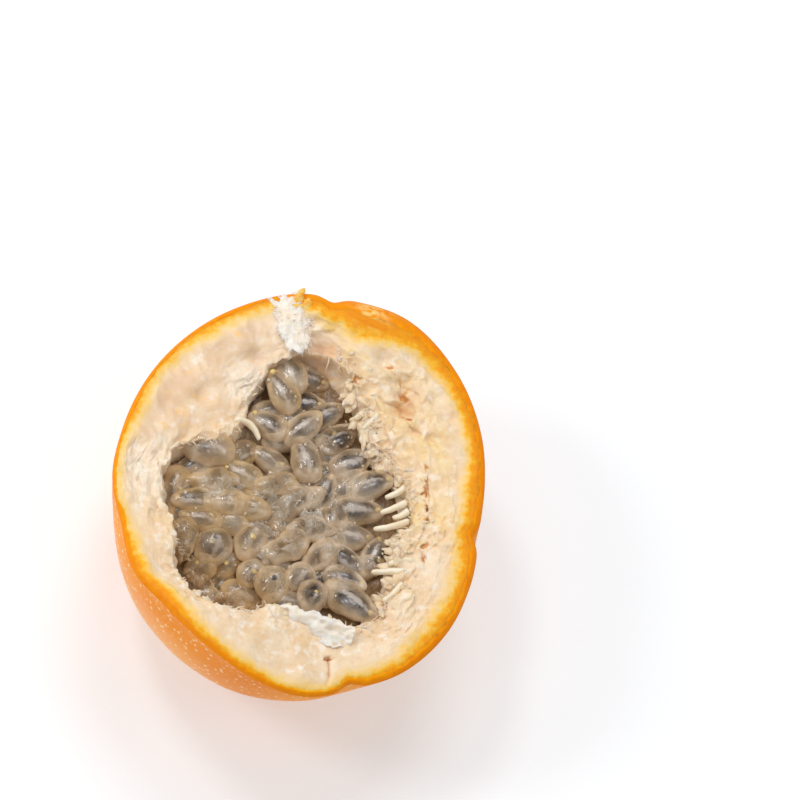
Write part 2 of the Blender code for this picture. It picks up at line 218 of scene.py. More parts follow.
def makeLights():
    for name, ((right, up, back), size, power) in lights.items():
        lamp = bpy.data.lights.new(name, "AREA")
        lamp.shape = "DISK"
        lamp.size = size
        lamp.energy = power
        light = bpy.data.objects.new(name, lamp)
        away = rightward * right + upward * up + backward * back
        light.matrix_world = Matrix.Translation(away) @ away.to_track_quat("Z", "Y").to_matrix().to_4x4()
        bpy.context.scene.collection.objects.link(light)
    world = bpy.context.scene.world or bpy.data.worlds.new("studio")
    bpy.context.scene.world = world
    world.use_nodes = True
    world.node_tree.nodes["Background"].inputs["Color"].default_value = (1, 1, 1, 1)
    world.node_tree.nodes["Background"].inputs["Strength"].default_value = view["daylight"]
    bpy.context.scene.view_settings.view_transform = "Standard"
    bpy.context.scene.view_settings.look = "None"


def makeFloor():
    mesh = bmesh.new()
    bmesh.ops.create_grid(mesh, x_segments=1, y_segments=1, size=view["floorSize"] / 2)
    data = bpy.data.meshes.new("floor")
    mesh.to_mesh(data)
    mesh.free()
    paper = Paint("paper", Roughness=0.9, Base_Color=(0.76, 0.79, 0.82, 1))
    paper.finish(Emission_Color=(1, 1, 1, 1), Emission_Strength=view["floorGlow"])
    data.materials.append(paper.material)
    floor = bpy.data.objects.new("floor", data)
    bpy.context.scene.collection.objects.link(floor)


makeCamera()
makeLights()
makeFloor()
print("camera, lights and floor made")

# ---- the fruit's outline and cut, which every piece follows

fruit = {
    "bellyHeight": 0.0310,
    "flatRadius": 0.0080,
    "roundness": 2.15,
    "rim": {  # azimuth: radius of the cut's outer edge
        4: 0.0322, 22: 0.0345, 40: 0.0368, 58: 0.0382, 74: 0.0369, 90: 0.0363, 107: 0.0347, 126: 0.0332,
        145: 0.0323, 162: 0.0320, 178: 0.0324, 193: 0.0320, 209: 0.0335, 222: 0.0331, 239: 0.0340,
        254: 0.0354, 268: 0.0362, 284: 0.0350, 299: 0.0350, 315: 0.0341, 331: 0.0326, 350: 0.0313,
    },
    "belly": {  # azimuth: radius of the widest girth, just below the cut
        0: 0.0319, 18: 0.0338, 36: 0.0360, 54: 0.0374, 72: 0.0370, 90: 0.0359, 108: 0.0345, 126: 0.0331,
        144: 0.0322, 162: 0.0316, 180: 0.0308, 198: 0.0314, 216: 0.0322, 234: 0.0330, 252: 0.0337,
        270: 0.0338, 288: 0.0333, 306: 0.0339, 324: 0.0330, 342: 0.0317,
    },
    "nicks": {79: 0.0011, 282: 0.0010, 347: 0.0009},
    "nickWidth": 3.2,
    "waves": {232: (0.0025, 28), 288: (-0.0020, 25), 68: (0.0020, 18)},  # azimuth: (rise, spread) of the cut
    "band": 0.0016,  # the coloured edge round the pith
    "bandSwing": 0.6,  # how much thicker it is on one side, and at which azimuth
    "bandThickAt": 15,
    "bandRagged": (0.0005, 6),
    "paler": {276: (1.0, 20), 182: (0.8, 22), 218: (-0.9, 20), 5: (-0.4, 45)},  # azimuth: (how pale, spread)
    "wideBand": 0.0044,
    "wideBandAt": 66,
    "wideBandSpread": 15,
    "edgeRound": 0.0011,
    "wideBandDrop": 0.0012,
}
hollow = {
    "centre": Vector((-0.0023, -0.0022, 0)),
    "radius": 0.0216,
    "waves": {2: (0.0019, 67), 3: (0.0028, -45), 4: (0.0011, -20), 5: (0.0020, 11)},
    "opened": (8, 0.0021, 26),  # azimuth, size, spread: where the sacs reach under the stalks
    "floor": 0.0095,
    "wallCurve": 0.7,
    "wallFall": 1.1,
    "lipDrop": 0.0016,
    "lipRagged": (0.0007, 9),
    "lowLip": (35, 0.0011, 42),  # azimuth, further drop, spread
}


def wrapped(angle):
    return (angle + 180) % 360 - 180


def bumpAt(azimuth, centre, spread):
    return math.exp(-((wrapped(azimuth - centre) / spread) ** 2))


def hill(point, centre, radius):
    return math.exp(-(((point[0] - centre[0]) ** 2 + (point[1] - centre[1]) ** 2) / radius**2))


def nearPlaces(point, places):
    # how near the point lies to any of the places, each an x, y and radius
    return sum(hill(point, (x, y), radius) for x, y, radius in places)


def offLine(point, knots):
    # how far the point is from a bent line, seen from above
    spot = Vector((point.x, point.y))
    knots = [Vector(knot) for knot in knots]
    nearest = 1.0
    for start, end in zip(knots, knots[1:]):
        along = min(1, max(0, (spot - start).dot(end - start) / (end - start).length_squared))
        nearest = min(nearest, (spot - start.lerp(end, along)).length)
    return nearest


def through(knots, azimuth):
    # the value at an azimuth on a smooth closed curve through the knots
    angles = sorted(knots)
    count = len(angles)
    azimuth = azimuth % 360
    after = next((i for i, angle in enumerate(angles) if angle > azimuth), 0)
    near = [angles[(after + step) % count] for step in (-2, -1, 0, 1)]
    values = [knots[angle] for angle in near]
    span = (near[2] - near[1]) % 360
    part = ((azimuth - near[1]) % 360) / span
    first = (values[2] - values[0]) / ((near[2] - near[0]) % 360) * span
    second = (values[3] - values[1]) / ((near[3] - near[1]) % 360) * span
    rise = part * part * (3 - 2 * part)
    curve = values[1] + (values[2] - values[1]) * rise
    return curve + first * part * (1 - part) ** 2 - second * part * part * (1 - part)


@lru_cache(maxsize=None)
def cutTop(azimuth):
    return cutHeight + sum(rise * bumpAt(azimuth, at, spread) for at, (rise, spread) in fruit["waves"].items())


@lru_cache(maxsize=None)
def rimRadius(azimuth):
    nicks = sum(depth * bumpAt(azimuth, at, fruit["nickWidth"]) for at, depth in fruit["nicks"].items())
    return through(fruit["rim"], azimuth) - nicks


@lru_cache(maxsize=None)
def bellyRadius(azimuth):
    return through(fruit["belly"], azimuth)


def wideBand(azimuth):
    return bumpAt(azimuth, fruit["wideBandAt"], fruit["wideBandSpread"])


def ragged(azimuth, size, steps):
    # a fine irregular swing round the fruit
    turn = math.radians(azimuth)
    spot = Vector((math.cos(turn), math.sin(turn), 0.3)) * steps
    return size * (noise.noise(spot) + 0.5 * noise.noise(spot * 2.3) + 0.3 * noise.noise(spot * 5.1))


@lru_cache(maxsize=None)
def pithRadius(azimuth):
    side = 1 + fruit["bandSwing"] * math.cos(math.radians(azimuth - fruit["bandThickAt"]))
    band = fruit["band"] * side + fruit["wideBand"] * wideBand(azimuth) + ragged(azimuth, *fruit["bandRagged"])
    return rimRadius(azimuth) - band


@lru_cache(maxsize=None)
def hollowRadius(azimuth):
    reach = hollow["radius"]
    for count, (size, at) in hollow["waves"].items():
        reach += size * math.cos(math.radians(count * (azimuth - at)))
    at, size, spread = hollow["opened"]
    return reach + size * bumpAt(azimuth, at, spread)


def aroundAxis(radius, height, azimuth, centre=Vector((0, 0, 0))):
    turn = math.radians(azimuth)
    return centre + Vector((radius * math.cos(turn), radius * math.sin(turn), height))


def turned(stations, steps):
    # a closed body: a grid wrapped round the axis, where each station gives its own point and tones
    mesh = bmesh.new()
    last = len(stations) - 1
    bmesh.ops.create_grid(mesh, x_segments=steps, y_segments=last, size=0.5)
    found = []
    for vertex in mesh.verts:
        azimuth = round((vertex.co.x + 0.5) * 360 % 360, 4)
        point, tones = stations[round((vertex.co.y + 0.5) * last)](azimuth)
        vertex.co = point
        found.append(tones)
    for name in sorted({name for tones in found for name in tones}):
        layer = mesh.verts.layers.float.new(name)
        for vertex, tones in zip(mesh.verts, found):
            vertex[layer] = tones.get(name, 0)
    bmesh.ops.remove_doubles(mesh, verts=mesh.verts, dist=1e-6)
    if mesh.calc_volume(signed=True) < 0:
        bmesh.ops.reverse_faces(mesh, faces=mesh.faces)
    return mesh


def stationsOf(function, count, first=0.0, last=1.0):
    parts = [first + (last - first) * step / (count - 1) for step in range(count)]
    return [lambda azimuth, part=part: function(part, azimuth) for part in parts]


# ---- skin

skin = {
    "steps": 400,
    "outsideStations": 34,
    "edgeStations": 12,
    "thickness": 0.0014,
    "dents": 0.00022,
    "dentSize": 0.0080,
    "orange": (250, 154, 2),
    "deepOrange": (238, 128, 0),
    "pinkBlush": (248, 184, 120),
    "speckle": (255, 222, 168),
    "coveredFrom": 0.45,  # how far over the edge band the pith begins
    "dive": 0.0006,
    "cutGrain": ((0.00020, 0.0016), (0.00010, 0.0006)),  # size, grain
    "strip": ((0.0008, 0.0358), (0.0068, 0.0341), (0.0110, 0.0314), (0.0150, 0.0296)),
    "stripWidth": 0.0009,
    "stripRise": 0.00022,
    "stripGrain": 0.0025,
    "patchAt": ((0.0132, 0.0326, 0.0026),),  # paler skin beyond the strip: x, y, radius
    "paintedSheenAt": (212, 38, 0.55),  # azimuth, spread, strength of the pale pink side, a painted sheen
}


def outsidePoint(part, azimuth):
    # part 0 is the flat spot's edge, 1 the widest girth
    widest = bellyRadius(azimuth)
    roundness = fruit["roundness"]
    lowest = math.asin(min(1, fruit["flatRadius"] / widest) ** (roundness / 2))
    angle = lowest + (math.pi / 2 - lowest) * part
    flatDrop = math.cos(lowest) ** (2 / roundness)
    radius = widest * math.sin(angle) ** (2 / roundness)
    height = fruit["bellyHeight"] * (1 - max(0, math.cos(angle)) ** (2 / roundness) / flatDrop)
    point = aroundAxis(radius, height, azimuth)
    dent = noise.noise(point / skin["dentSize"]) * skin["dents"] * min(1, 4 * part)
    # painted sheen: the pale pink side stands in for a grazing reflection of the bright surroundings
    at, spread, strength = skin["paintedSheenAt"]
    tones = {"edge": -4.0, "blush": strength * bumpAt(azimuth, at, spread) * (1 - abs(2 * part - 1) ** 3)}
    return point - Vector((point.x, point.y, 0)).normalized() * (skin["dents"] * 0.6 + dent), tones


def shoulderPoint(part, azimuth):
    top = cutTop(azimuth) - fruit["edgeRound"] - fruit["wideBandDrop"] * wideBand(azimuth)
    belly = bellyRadius(azimuth)
    radius = belly + (rimRadius(azimuth) - belly) * part * part
    edge = -4.0 + 2.4 * max(0, part - 0.82) / 0.18
    return aroundAxis(radius, fruit["bellyHeight"] + (top - fruit["bellyHeight"]) * part, azimuth), {"edge": edge}


def paler(edge, azimuth):
    # the edge tone moved towards the pith's colour where the rim is pale
    pale = sum(size * bumpAt(azimuth, at, spread) for at, (size, spread) in fruit["paler"].items())
    return edge + pale * min(1, max(0, (edge + 1.6) / 1.6))


def bandHeight(part, azimuth):
    drop = fruit["edgeRound"] + fruit["wideBandDrop"] * wideBand(azimuth)
    return cutTop(azimuth) - drop * (1 - part) ** 4


def stripPart(point):
    # 1 on the strip of skin that the knife left slanting over the wide edge
    away = offLine(point, skin["strip"]) / skin["stripWidth"]
    return math.exp(-(away**2)) * (0.75 + 0.6 * noise.noise(point / skin["stripGrain"]))


def bandPoint(part, azimuth):
    # over the rounded cut edge: part 0 is the outer edge, and 1 lies under the pith
    outer, inner = rimRadius(azimuth), pithRadius(azimuth)
    dive = max(0, part - skin["coveredFrom"]) / (1 - skin["coveredFrom"])
    height = bandHeight(part, azimuth) - skin["dive"] * dive * dive * (3 - 2 * dive)
    point = aroundAxis(outer + (inner - outer) * part, height, azimuth)
    strip = stripPart(point)
    rough = sum(size * noise.noise(point / grain) for size, grain in skin["cutGrain"])
    point.z += rough * math.sin(math.pi * part) + skin["stripRise"] * strip * (1 - dive)
    edge = paler(-1.6 * (1 - part), azimuth)
    return point, {"edge": edge, "strip": strip, "patch": nearPlaces(point, skin["patchAt"])}


def insidePoint(part, azimuth):
    # the skin's inner side, hidden by the pith: part 0 is under the pith's edge
    outer = outsidePoint(1 - part, azimuth)[0]
    inwards = Vector((-outer.x, -outer.y, 0.4 * skin["thickness"])).normalized()
    point = outer + inwards * skin["thickness"] * 1.4
    point.z = max(point.z, skin["thickness"]) if part > 0.9 else point.z + skin["thickness"] * 0.4
    return point, {"edge": 0.0}


def makeSkin():
    stations = [lambda azimuth: (Vector((0, 0, 0)), {"edge": -4.0})]
    stations += stationsOf(outsidePoint, skin["outsideStations"])
    stations += stationsOf(shoulderPoint, 8, first=0.15)
    stations += stationsOf(bandPoint, skin["edgeStations"], first=0.06)
    stations += stationsOf(insidePoint, 12)
    stations += [lambda azimuth: (Vector((0, 0, skin["thickness"])), {"edge": 0.0})]
    return turned(stations, skin["steps"])


edgeStops = [  # from the skin inwards over the cut, -2 mm to +3 mm
    (0.00, linear(240, 134, 0)),
    (0.22, linear(248, 148, 0)),
    (0.34, linear(251, 164, 0)),
    (0.43, linear(253, 188, 48)),
    (0.54, linear(251, 206, 116)),
    (0.72, linear(248, 214, 158)),
    (0.92, linear(245, 218, 182)),
]


def edgeColour(paint):
    swing = (paint.noise(0.0012, 4) - 0.5) * 2.6
    colour = paint.ramp((paint.attribute("edge") + swing + 2) * 0.2, edgeStops)
    patch = paint.attribute("patch") * paint.patchy(0.0015, 4, 0.40, 0.60)
    colour = paint.mix(patch, colour, linear(252, 214, 132))
    strip = paint.between(paint.attribute("strip") + swing * 0.15, 0.2, 0.6)
    return paint.mix(strip, colour, linear(244, 148, 0))


def skinMaterial():
    paint = Paint("speckledSkin", Coat_Weight=0.02, Coat_Roughness=0.35, Specular_IOR_Level=0.10)
    large = paint.patchy(0.030, 2, 0.35, 0.65)
    body = paint.mix(large, linear(*skin["deepOrange"]), linear(*skin["orange"]))
    # the skin's own pink blush, in random patches
    blush = paint.patchy(0.018, 3, 0.45, 0.70) * 0.10
    body = paint.mix(blush, body, linear(*skin["pinkBlush"]))
    # painted sheen: the skin made paler and pinker on that side
    body = paint.mix(paint.attribute("blush"), body, linear(252, 208, 170))
    fine = paint.noise(0.0009, 3)
    body = paint.mix(fine * 0.2, body, linear(252, 170, 16))
    spots = 1 - paint.between(paint.cells(0.0013), 0.13, 0.31)
    small = 1 - paint.between(paint.cells(0.0009), 0.10, 0.26)
    marks = spots * 0.88 + small * 0.4
    body = paint.mix(marks, body, linear(*skin["speckle"]))
    onCut = paint.between(paint.attribute("edge"), -2.6, -1.7)
    colour = paint.mix(onCut, body, edgeColour(paint))
    height = marks * 0.4 + paint.noise(0.0005, 2) * 0.5 + paint.noise(0.004, 2) * 0.8
    rough = 0.42 + onCut * 0.24 + fine * 0.08
    return paint.finish(Base_Color=colour, Roughness=rough, Normal=paint.bump(height, 0.00012, 0.7))


addPiece("skin", makeSkin(), skinMaterial(), "rind")

# ---- pith

pith = {
    "steps": 700,
    "cutStations": 84,
    "wallStations": 30,
    "wallSpan": (0.015, 0.62),  # the parts of the way down the hollow between which the wall is fine
    "slope": 0.0016,  # how far the wall leans in under its lip
    "lump": (0.0007, 0.0050),  # size, grain
    "tear": (0.00085, 0.0024),
    "crumb": (0.00048, 0.0010),
    "fibre": (0.00022, 0.00048),
    "fold": 0.0005,  # the low folds of the smooth part
    "foldGrain": 0.0034,
    "strands": 0.45,  # how little the tears change along the rim
    "pits": (  # x, y, radius, depth
        (0.0110, 0.0290, 0.0016, 0.0014), (0.0182, 0.0200, 0.0018, 0.0018), (0.0190, 0.0160, 0.0019, 0.0022),
        (-0.0070, 0.0240, 0.0016, 0.0016), (-0.0165, 0.0165, 0.0014, 0.0012), (0.0048, 0.0262, 0.0026, 0.0022),
        (0.0205, 0.0120, 0.0012, 0.0014), (0.0150, 0.0245, 0.0014, 0.0016),
    ),
    "holes": (  # small brown holes in the cut
        (0.0220, 0.0030, 0.0005, 0.0008), (0.0217, 0.0010, 0.0006, 0.0010), (0.0222, -0.0014, 0.0004, 0.0008),
        (0.0216, -0.0040, 0.0005, 0.0009), (0.0211, -0.0089, 0.0004, 0.0008), (0.0204, -0.0111, 0.0005, 0.0008),
        (0.0102, 0.0212, 0.0006, 0.0012), (0.0160, 0.0235, 0.0004, 0.0006), (0.0037, -0.0294, 0.0004, 0.0008),
        (0.0190, 0.0186, 0.0006, 0.0008), (0.0196, 0.0150, 0.0004, 0.0007), (0.0106, 0.0283, 0.0005, 0.0007),
        (0.0219, 0.0052, 0.0003, 0.0005), (0.0180, 0.0212, 0.0003, 0.0005),
    ),
    "holeStretch": 1.9,  # along the rim
    "holeWander": (0.0007, 0.0006),  # size, grain
    "crease": ((0.0037, -0.0290), (0.0034, -0.0325), (0.0030, -0.0352)),
    "creaseWidth": 0.00030,
    "creaseDepth": 0.0006,
    "creaseWander": 0.0003,
    "creaseGrain": 0.0012,
    "smoothAt": (
        (-0.0195, 0.0200, 0.0080), (-0.0085, 0.0295, 0.0060), (-0.0255, 0.0110, 0.0045), (0.0048, 0.0262, 0.0026),
    ),
    "roughAt": (  # where the pith is torn most
        (0.0185, 0.0150, 0.0080), (0.0205, -0.0040, 0.0065), (-0.0272, 0.0020, 0.0052), (0.0020, 0.0320, 0.0045),
        (0.0150, -0.0200, 0.0050), (-0.0082, 0.0192, 0.0044),
    ),
    "whiteAt": ((-0.0272, 0.0020, 0.0045), (0.0005, 0.0305, 0.0042), (-0.0082, 0.0198, 0.0040)),
    "roughLip": (0.75, 0.0022),  # how torn the hollow's edge is, and how far out
    "calm": 0.22,  # how torn it is elsewhere
    "stainAt": (
        (0.0215, -0.0030, 0.0042), (0.0190, 0.0170, 0.0050), (0.0110, 0.0270, 0.0040), (0.0235, 0.0080, 0.0040),
    ),
    # painted shade: the pits are browned where shade would fall in them
    "brownAt": ((0.0052, 0.0258, 0.0024), (0.0190, 0.0172, 0.0022), (-0.0070, 0.0240, 0.0012)),
}


def smoothPart(point):
    # 1 on the clear skin over the pith at the upper left
    return min(1, nearPlaces(point, pith["smoothAt"]))


def roughPart(point, fromHollow):
    # how torn the pith is, from how far it lies from the hollow's edge
    rough, reach = pith["roughLip"]
    rough *= math.exp(-((fromHollow / reach) ** 2))
    return min(1, pith["calm"] + nearPlaces(point, pith["roughAt"]) + rough)


def torn(point, strength, rough=1.0):
    # the point moved each way at several scales, in strands that follow the rim, as torn pith is
    smooth = smoothPart(point)
    moved = point.copy()
    fold = abs(noise.noise(Vector((point.x * 1.3, point.y * 0.9 + point.x * 0.4, 0.002)) / pith["foldGrain"]))
    moved.z += pith["fold"] * smooth * (0.35 - fold) * strength
    reach = math.hypot(point.x, point.y) or 1
    shrink = 0.025 * pith["strands"] / reach
    stranded = Vector((point.x * shrink, point.y * shrink, reach + point.z))
    for step, name in enumerate(("lump", "tear", "crumb", "fibre")):
        size, grain = pith[name]
        spot = (stranded if step else point) / grain
        shifts = (Vector((0, 0, 0)), Vector((37, 11, 5)), Vector((3, 71, 29)))
        push = Vector([noise.noise(spot + shift) for shift in shifts])
        if step:
            push *= 1 - 0.85 * smooth
            push.z += (0.4 - 1.4 * abs(noise.noise(point / grain * 0.7 + Vector((9, 9, 9))))) * (1 - smooth)
            push *= rough
        moved += push * size * strength
    return moved


def holePart(point):
    # 1 in the small holes, which are ragged and drawn out along the rim
    rim = Vector((point.x, point.y)).normalized()
    size, grain = pith["holeWander"]
    wander = Vector((noise.noise(point / grain), noise.noise(point / grain + Vector((5, 5, 5))))) * size
    deep = shown = 0.0
    for x, y, radius, depth in pith["holes"]:
        away = Vector((point.x - x, point.y - y)) + wander
        if away.length > 0.004:
            continue
        across = away.dot(rim) / radius
        along = away.dot(Vector((-rim.y, rim.x))) / (radius * pith["holeStretch"])
        part = math.exp(-(across * across + along * along))
        deep += depth * part
        shown = max(shown, part)
    return deep, shown


def creasePart(point):
    away = offLine(point, pith["crease"]) + pith["creaseWander"] * noise.noise(point / pith["creaseGrain"])
    return math.exp(-((away / pith["creaseWidth"]) ** 2))


def hollowEdge(azimuth):
    reach = hollowRadius(azimuth) + ragged(azimuth, *hollow["lipRagged"])
    edge = aroundAxis(reach, 0, azimuth, hollow["centre"])
    at, drop, spread = hollow["lowLip"]
    edge.z = cutTop(round(math.degrees(math.atan2(edge.y, edge.x)), 1)) - hollow["lipDrop"]
    edge.z -= drop * bumpAt(azimuth, at, spread)
    return edge


def pithTones(point, edge, down, hole=0.0):
    tones = {"edge": edge, "down": down, "hole": hole, "smooth": smoothPart(point), "strip": stripPart(point)}
    tones |= {name: min(1, nearPlaces(point, pith[name + "At"])) for name in ("stain", "brown", "white")}
    return tones | {"patch": nearPlaces(point, skin["patchAt"])}


def cutPoint(part, azimuth):
    # over the cut: part 0 lies on the coloured edge, 1 is the hollow's edge
    rim, pithEdge = rimRadius(azimuth), pithRadius(azimuth)
    start = rim + (pithEdge - rim) * skin["coveredFrom"]
    outer = aroundAxis(start, bandHeight(skin["coveredFrom"], azimuth) - 0.00008, azimuth)
    inner = hollowEdge(azimuth)
    point = outer.lerp(inner, part)
    point.z = outer.z + (inner.z - outer.z) * part**2 + 0.00016 * min(1, 16 * part)
    reach = math.hypot(point.x, point.y)
    edge = (pithEdge - reach) / mm if reach < pithEdge else 1.6 * (pithEdge - reach) / (rim - pithEdge)
    point.z += (cutTop(azimuth) - outer.z) * min(1, 6 * part) * (1 - part)
    near = min(1, max(0, edge + 0.5) / 2.2)
    deep, hole = holePart(point)
    crease = creasePart(point)
    dug = deep + sum(depth * hill(point, (x, y), radius) for x, y, radius, depth in pith["pits"])
    # painted shade: the crease takes the holes' brown at a little over half strength
    tones = pithTones(point, min(paler(edge, azimuth), 12), 0.0, max(hole, crease * 0.55))
    point.z += skin["stripRise"] * stripPart(point)
    point.z -= (dug + crease * pith["creaseDepth"]) * near
    strength = (0.14 + 0.86 * near) * min(1, 12 * part)
    return torn(point, strength, roughPart(point, (point - inner).length)), tones


def wallPoint(part, azimuth):
    # down the hollow: part 0 is the edge, 1 the floor's centre
    down = math.radians(90 * part)
    edge = hollowEdge(azimuth)
    reach = hollowRadius(azimuth) + ragged(azimuth, *hollow["lipRagged"]) * (1 - part)
    reach *= math.cos(down) ** hollow["wallCurve"]
    reach -= pith["slope"] * min(1, 2.5 * math.sin(down))
    height = edge.z - (edge.z - hollow["floor"]) * math.sin(down) ** hollow["wallFall"]
    point = aroundAxis(reach, height, azimuth, hollow["centre"])
    return torn(point, max(0, 1 - 1.2 * part), 0.9), pithTones(point, 12, min(1, part * 2.5))


def underPoint(part, azimuth):
    # against the skin's inner side: part 0 is the bottom, 1 under the coloured edge
    if part < 0.999:
        outer = outsidePoint(part / 0.999, azimuth)[0]
        inset = skin["thickness"] * 0.7
        point = outer - Vector((outer.x, outer.y, 0)).normalized() * inset
        point.z += inset
    else:
        point = aroundAxis(pithRadius(azimuth) + 0.0001, cutTop(azimuth) - 0.0012, azimuth)
    return point, {"edge": 0.0}


def makePith():
    stations = [lambda azimuth: (Vector((0, 0, skin["thickness"])), {"edge": 0.0})]
    stations += stationsOf(underPoint, 10, first=0.05)
    stations += stationsOf(cutPoint, pith["cutStations"])
    stations += stationsOf(wallPoint, pith["wallStations"], *pith["wallSpan"])
    stations += [lambda azimuth: (hollow["centre"] + Vector((0, 0, hollow["floor"] + 0.002)), {"down": 1.0})]
    return turned(stations, pith["steps"])


def pithMaterial():
    paint = Paint("tornPith", Subsurface_Weight=0.35, Subsurface_Scale=0.0016, Specular_IOR_Level=0.35)
    paint.finish(Subsurface_Radius=(1.0, 0.75, 0.5))
    smooth, stain = paint.attribute("smooth"), paint.attribute("stain")
    cloud = paint.noise(0.0048, 4)
    stops = [(0.30, linear(248, 227, 198)), (0.50, linear(242, 215, 180)), (0.72, linear(236, 203, 158))]
    body = paint.ramp(cloud, stops)
    white = paint.patchy(0.0016, 4, 0.50, 0.68)
    body = paint.mix(white * 0.75, body, linear(253, 240, 226))
    beige = smooth * paint.patchy(0.0050, 4, 0.36, 0.60)
    body = paint.mix(beige * 0.9, body, linear(229, 195, 160))
    patches = smooth * paint.patchy(0.0024, 3, 0.58, 0.70)
    body = paint.mix(patches * 0.85, body, linear(250, 204, 136))
    yellow = stain * paint.patchy(0.0026, 3, 0.32, 0.62)
    body = paint.mix(yellow * 0.65, body, linear(249, 218, 146))
    pores = 1 - paint.patchy(0.0008, 3, 0.30, 0.42)
    body = paint.mix(pores * 0.30 * (1 - smooth), body, linear(234, 190, 142))
    # painted shade, browner in the pits
    body = paint.mix(paint.attribute("brown") * 0.6, body, linear(222, 176, 136))
    # the small holes' own brown, and painted shade in the crease
    hole = paint.between(paint.attribute("hole"), 0.15, 0.75)
    body = paint.mix(hole * 0.85, body, linear(208, 140, 66))
    body = paint.mix(paint.attribute("white") * 0.6, body, linear(254, 245, 232))
    body = paint.mix(paint.attribute("down") * 0.2, body, linear(244, 218, 186))
    rim = 1 - paint.between(paint.attribute("edge"), 1.4, 3.2)
    colour = paint.mix(rim, body, edgeColour(paint))
    height = paint.noise(0.0009, 5, 0.65) * 0.8 + paint.noise(0.0003, 3) * 0.35
    relief = paint.bump(height * (1 - smooth * 0.75), 0.00026, 0.7)
    return paint.finish(Base_Color=colour, Roughness=0.72 - smooth * 0.34, Normal=relief)


pithPaint = pithMaterial()
addPiece("pith", makePith(), pithPaint, "rind")

workMesh = bpy.data.meshes.new("work")


def addBall(mesh, shape, around=0, rings=0, finer=0, **marks):
    # a unit ball, each of its points placed by the shape function, joined to the mesh
    ball = bmesh.new()
    if finer:
        bmesh.ops.create_icosphere(ball, subdivisions=finer, radius=1)
    else:
        bmesh.ops.create_uvsphere(ball, u_segments=around, v_segments=rings, radius=1)
    layers = [(ball.verts.layers.float.new(name), toneOf) for name, toneOf in marks.items()]
    for vertex in ball.verts:
        for layer, toneOf in layers:
            vertex[layer] = toneOf(vertex.co)
        vertex.co = shape(vertex.co)
    if ball.calc_volume(signed=True) < 0:
        bmesh.ops.reverse_faces(ball, faces=ball.faces)
    ball.to_mesh(workMesh)
    ball.free()
    mesh.from_mesh(workMesh)


def rod(mesh, root, tip, girth, taper=1.0, bow=Vector((0, 0, 0)), sides=8, rings=9, flat=1.0, blunt=6):
    # a round-ended rod from root to tip, bowed sideways in its middle
    turn = (tip - root).to_track_quat("Z", "X").to_matrix()
    length = (tip - root).length

    def shape(way):
        part = (way.z + 1) / 2
        full = math.sqrt(max(0, 1 - abs(way.z) ** blunt)) / max(1e-6, math.sqrt(max(0, 1 - way.z**2)))
        width = girth * full * (1 + (taper - 1) * part)
        spot = root + turn @ Vector((way.x * width, way.y * flat * width, part * length))
        return spot + bow * math.sin(math.pi * part)

    addBall(mesh, shape, around=sides, rings=rings)


def clump(mesh, centre, size, turn, seed, rough=0.35, grain=0.0022, finer=2):
    # a torn lump: a ball with its surface pushed about
    shift = Vector((seed * 3.7, seed * 1.3, seed * 7.1))

    def shape(way):
        spot = Vector((way.x * size.x, way.y * size.y, way.z * size.z))
        swell = noise.noise(spot / grain + shift) + 0.5 * noise.noise(spot / grain * 2.6 + shift)
        return centre + turn @ (spot * (1 + rough * swell))

    addBall(mesh, shape, finer=finer)


def markAll(mesh, **tones):
    for name, value in tones.items():
        layer = mesh.verts.layers.float.get(name) or mesh.verts.layers.float.new(name)
        for vertex in mesh.verts:
            vertex[layer] = value


# ---- seed stalks

stalks = {
    "places": (  # root x and y, tip x and y, in mm
        (13.0, 16.8, 10.3, 14.4), (13.9, 14.9, 11.4, 12.6), (10.4, 22.4, 9.0, 20.6), (17.8, 1.8, 14.9, 0.3),
        (17.9, -0.9, 13.9, -2.5), (18.2, -4.2, 12.6, -5.5), (18.6, -11.3, 14.8, -11.8), (17.6, -13.1, 11.8, -13.3),
        (16.6, -15.6, 13.6, -18.4), (-10.6, 12.7, -6.5, 9.8), (18.3, -2.4, 16.0, -3.4),
    ),
    "girth": 0.00066,
    "rootGirth": 1.25,
    "tipGirth": 0.95,
    "height": 0.0342,
    "tipHeight": 0.0334,
    "bows": {9: 0.0011},
    "bow": 0.0003,
    "waver": (0.00009, 0.0011),  # size, grain
}


def stalkEnds():
    # each stalk's root and tip
    for rootX, rootY, tipX, tipY in stalks["places"]:
        yield Vector((rootX * mm, rootY * mm, stalks["height"])), Vector((tipX * mm, tipY * mm, stalks["tipHeight"]))


def makeStalks():
    mesh = bmesh.new()
    draw = random.Random(5)
    for number, (root, tip) in enumerate(stalkEnds()):
        along = (tip - root).normalized()
        bow = stalks["bows"].get(number, draw.uniform(-stalks["bow"], stalks["bow"]))
        side = Vector((-along.y, along.x, 0)) * bow
        girth = stalks["girth"] * stalks["rootGirth"]
        taper = stalks["tipGirth"] / stalks["rootGirth"]
        rod(mesh, root - along * 0.0005, tip, girth, taper, bow=side, sides=14, rings=20, flat=0.75, blunt=14)
    size, grain = stalks["waver"]
    for vertex in mesh.verts:
        vertex.co += Vector([noise.noise(vertex.co / grain + Vector((k * 9, 0, k))) for k in range(3)]) * size
    return mesh


def stalkMaterial():
    paint = Paint("stalkFlesh", Subsurface_Weight=0.3, Subsurface_Scale=0.0012, Specular_IOR_Level=0.5)
    paint.finish(Subsurface_Radius=(1.0, 0.8, 0.6))
    tint = paint.patchy(0.0025, 2, 0.35, 0.7)
    colour = paint.mix(tint, linear(250, 238, 214), linear(240, 220, 186))
    return paint.finish(Base_Color=colour, Roughness=0.34, Normal=paint.bump(paint.noise(0.0004, 3), 0.0001, 0.6))


addPiece("stalks", makeStalks(), stalkMaterial(), "rind")

# ---- the torn flap that leans over the pulp, the tuft at the top, and loose shreds

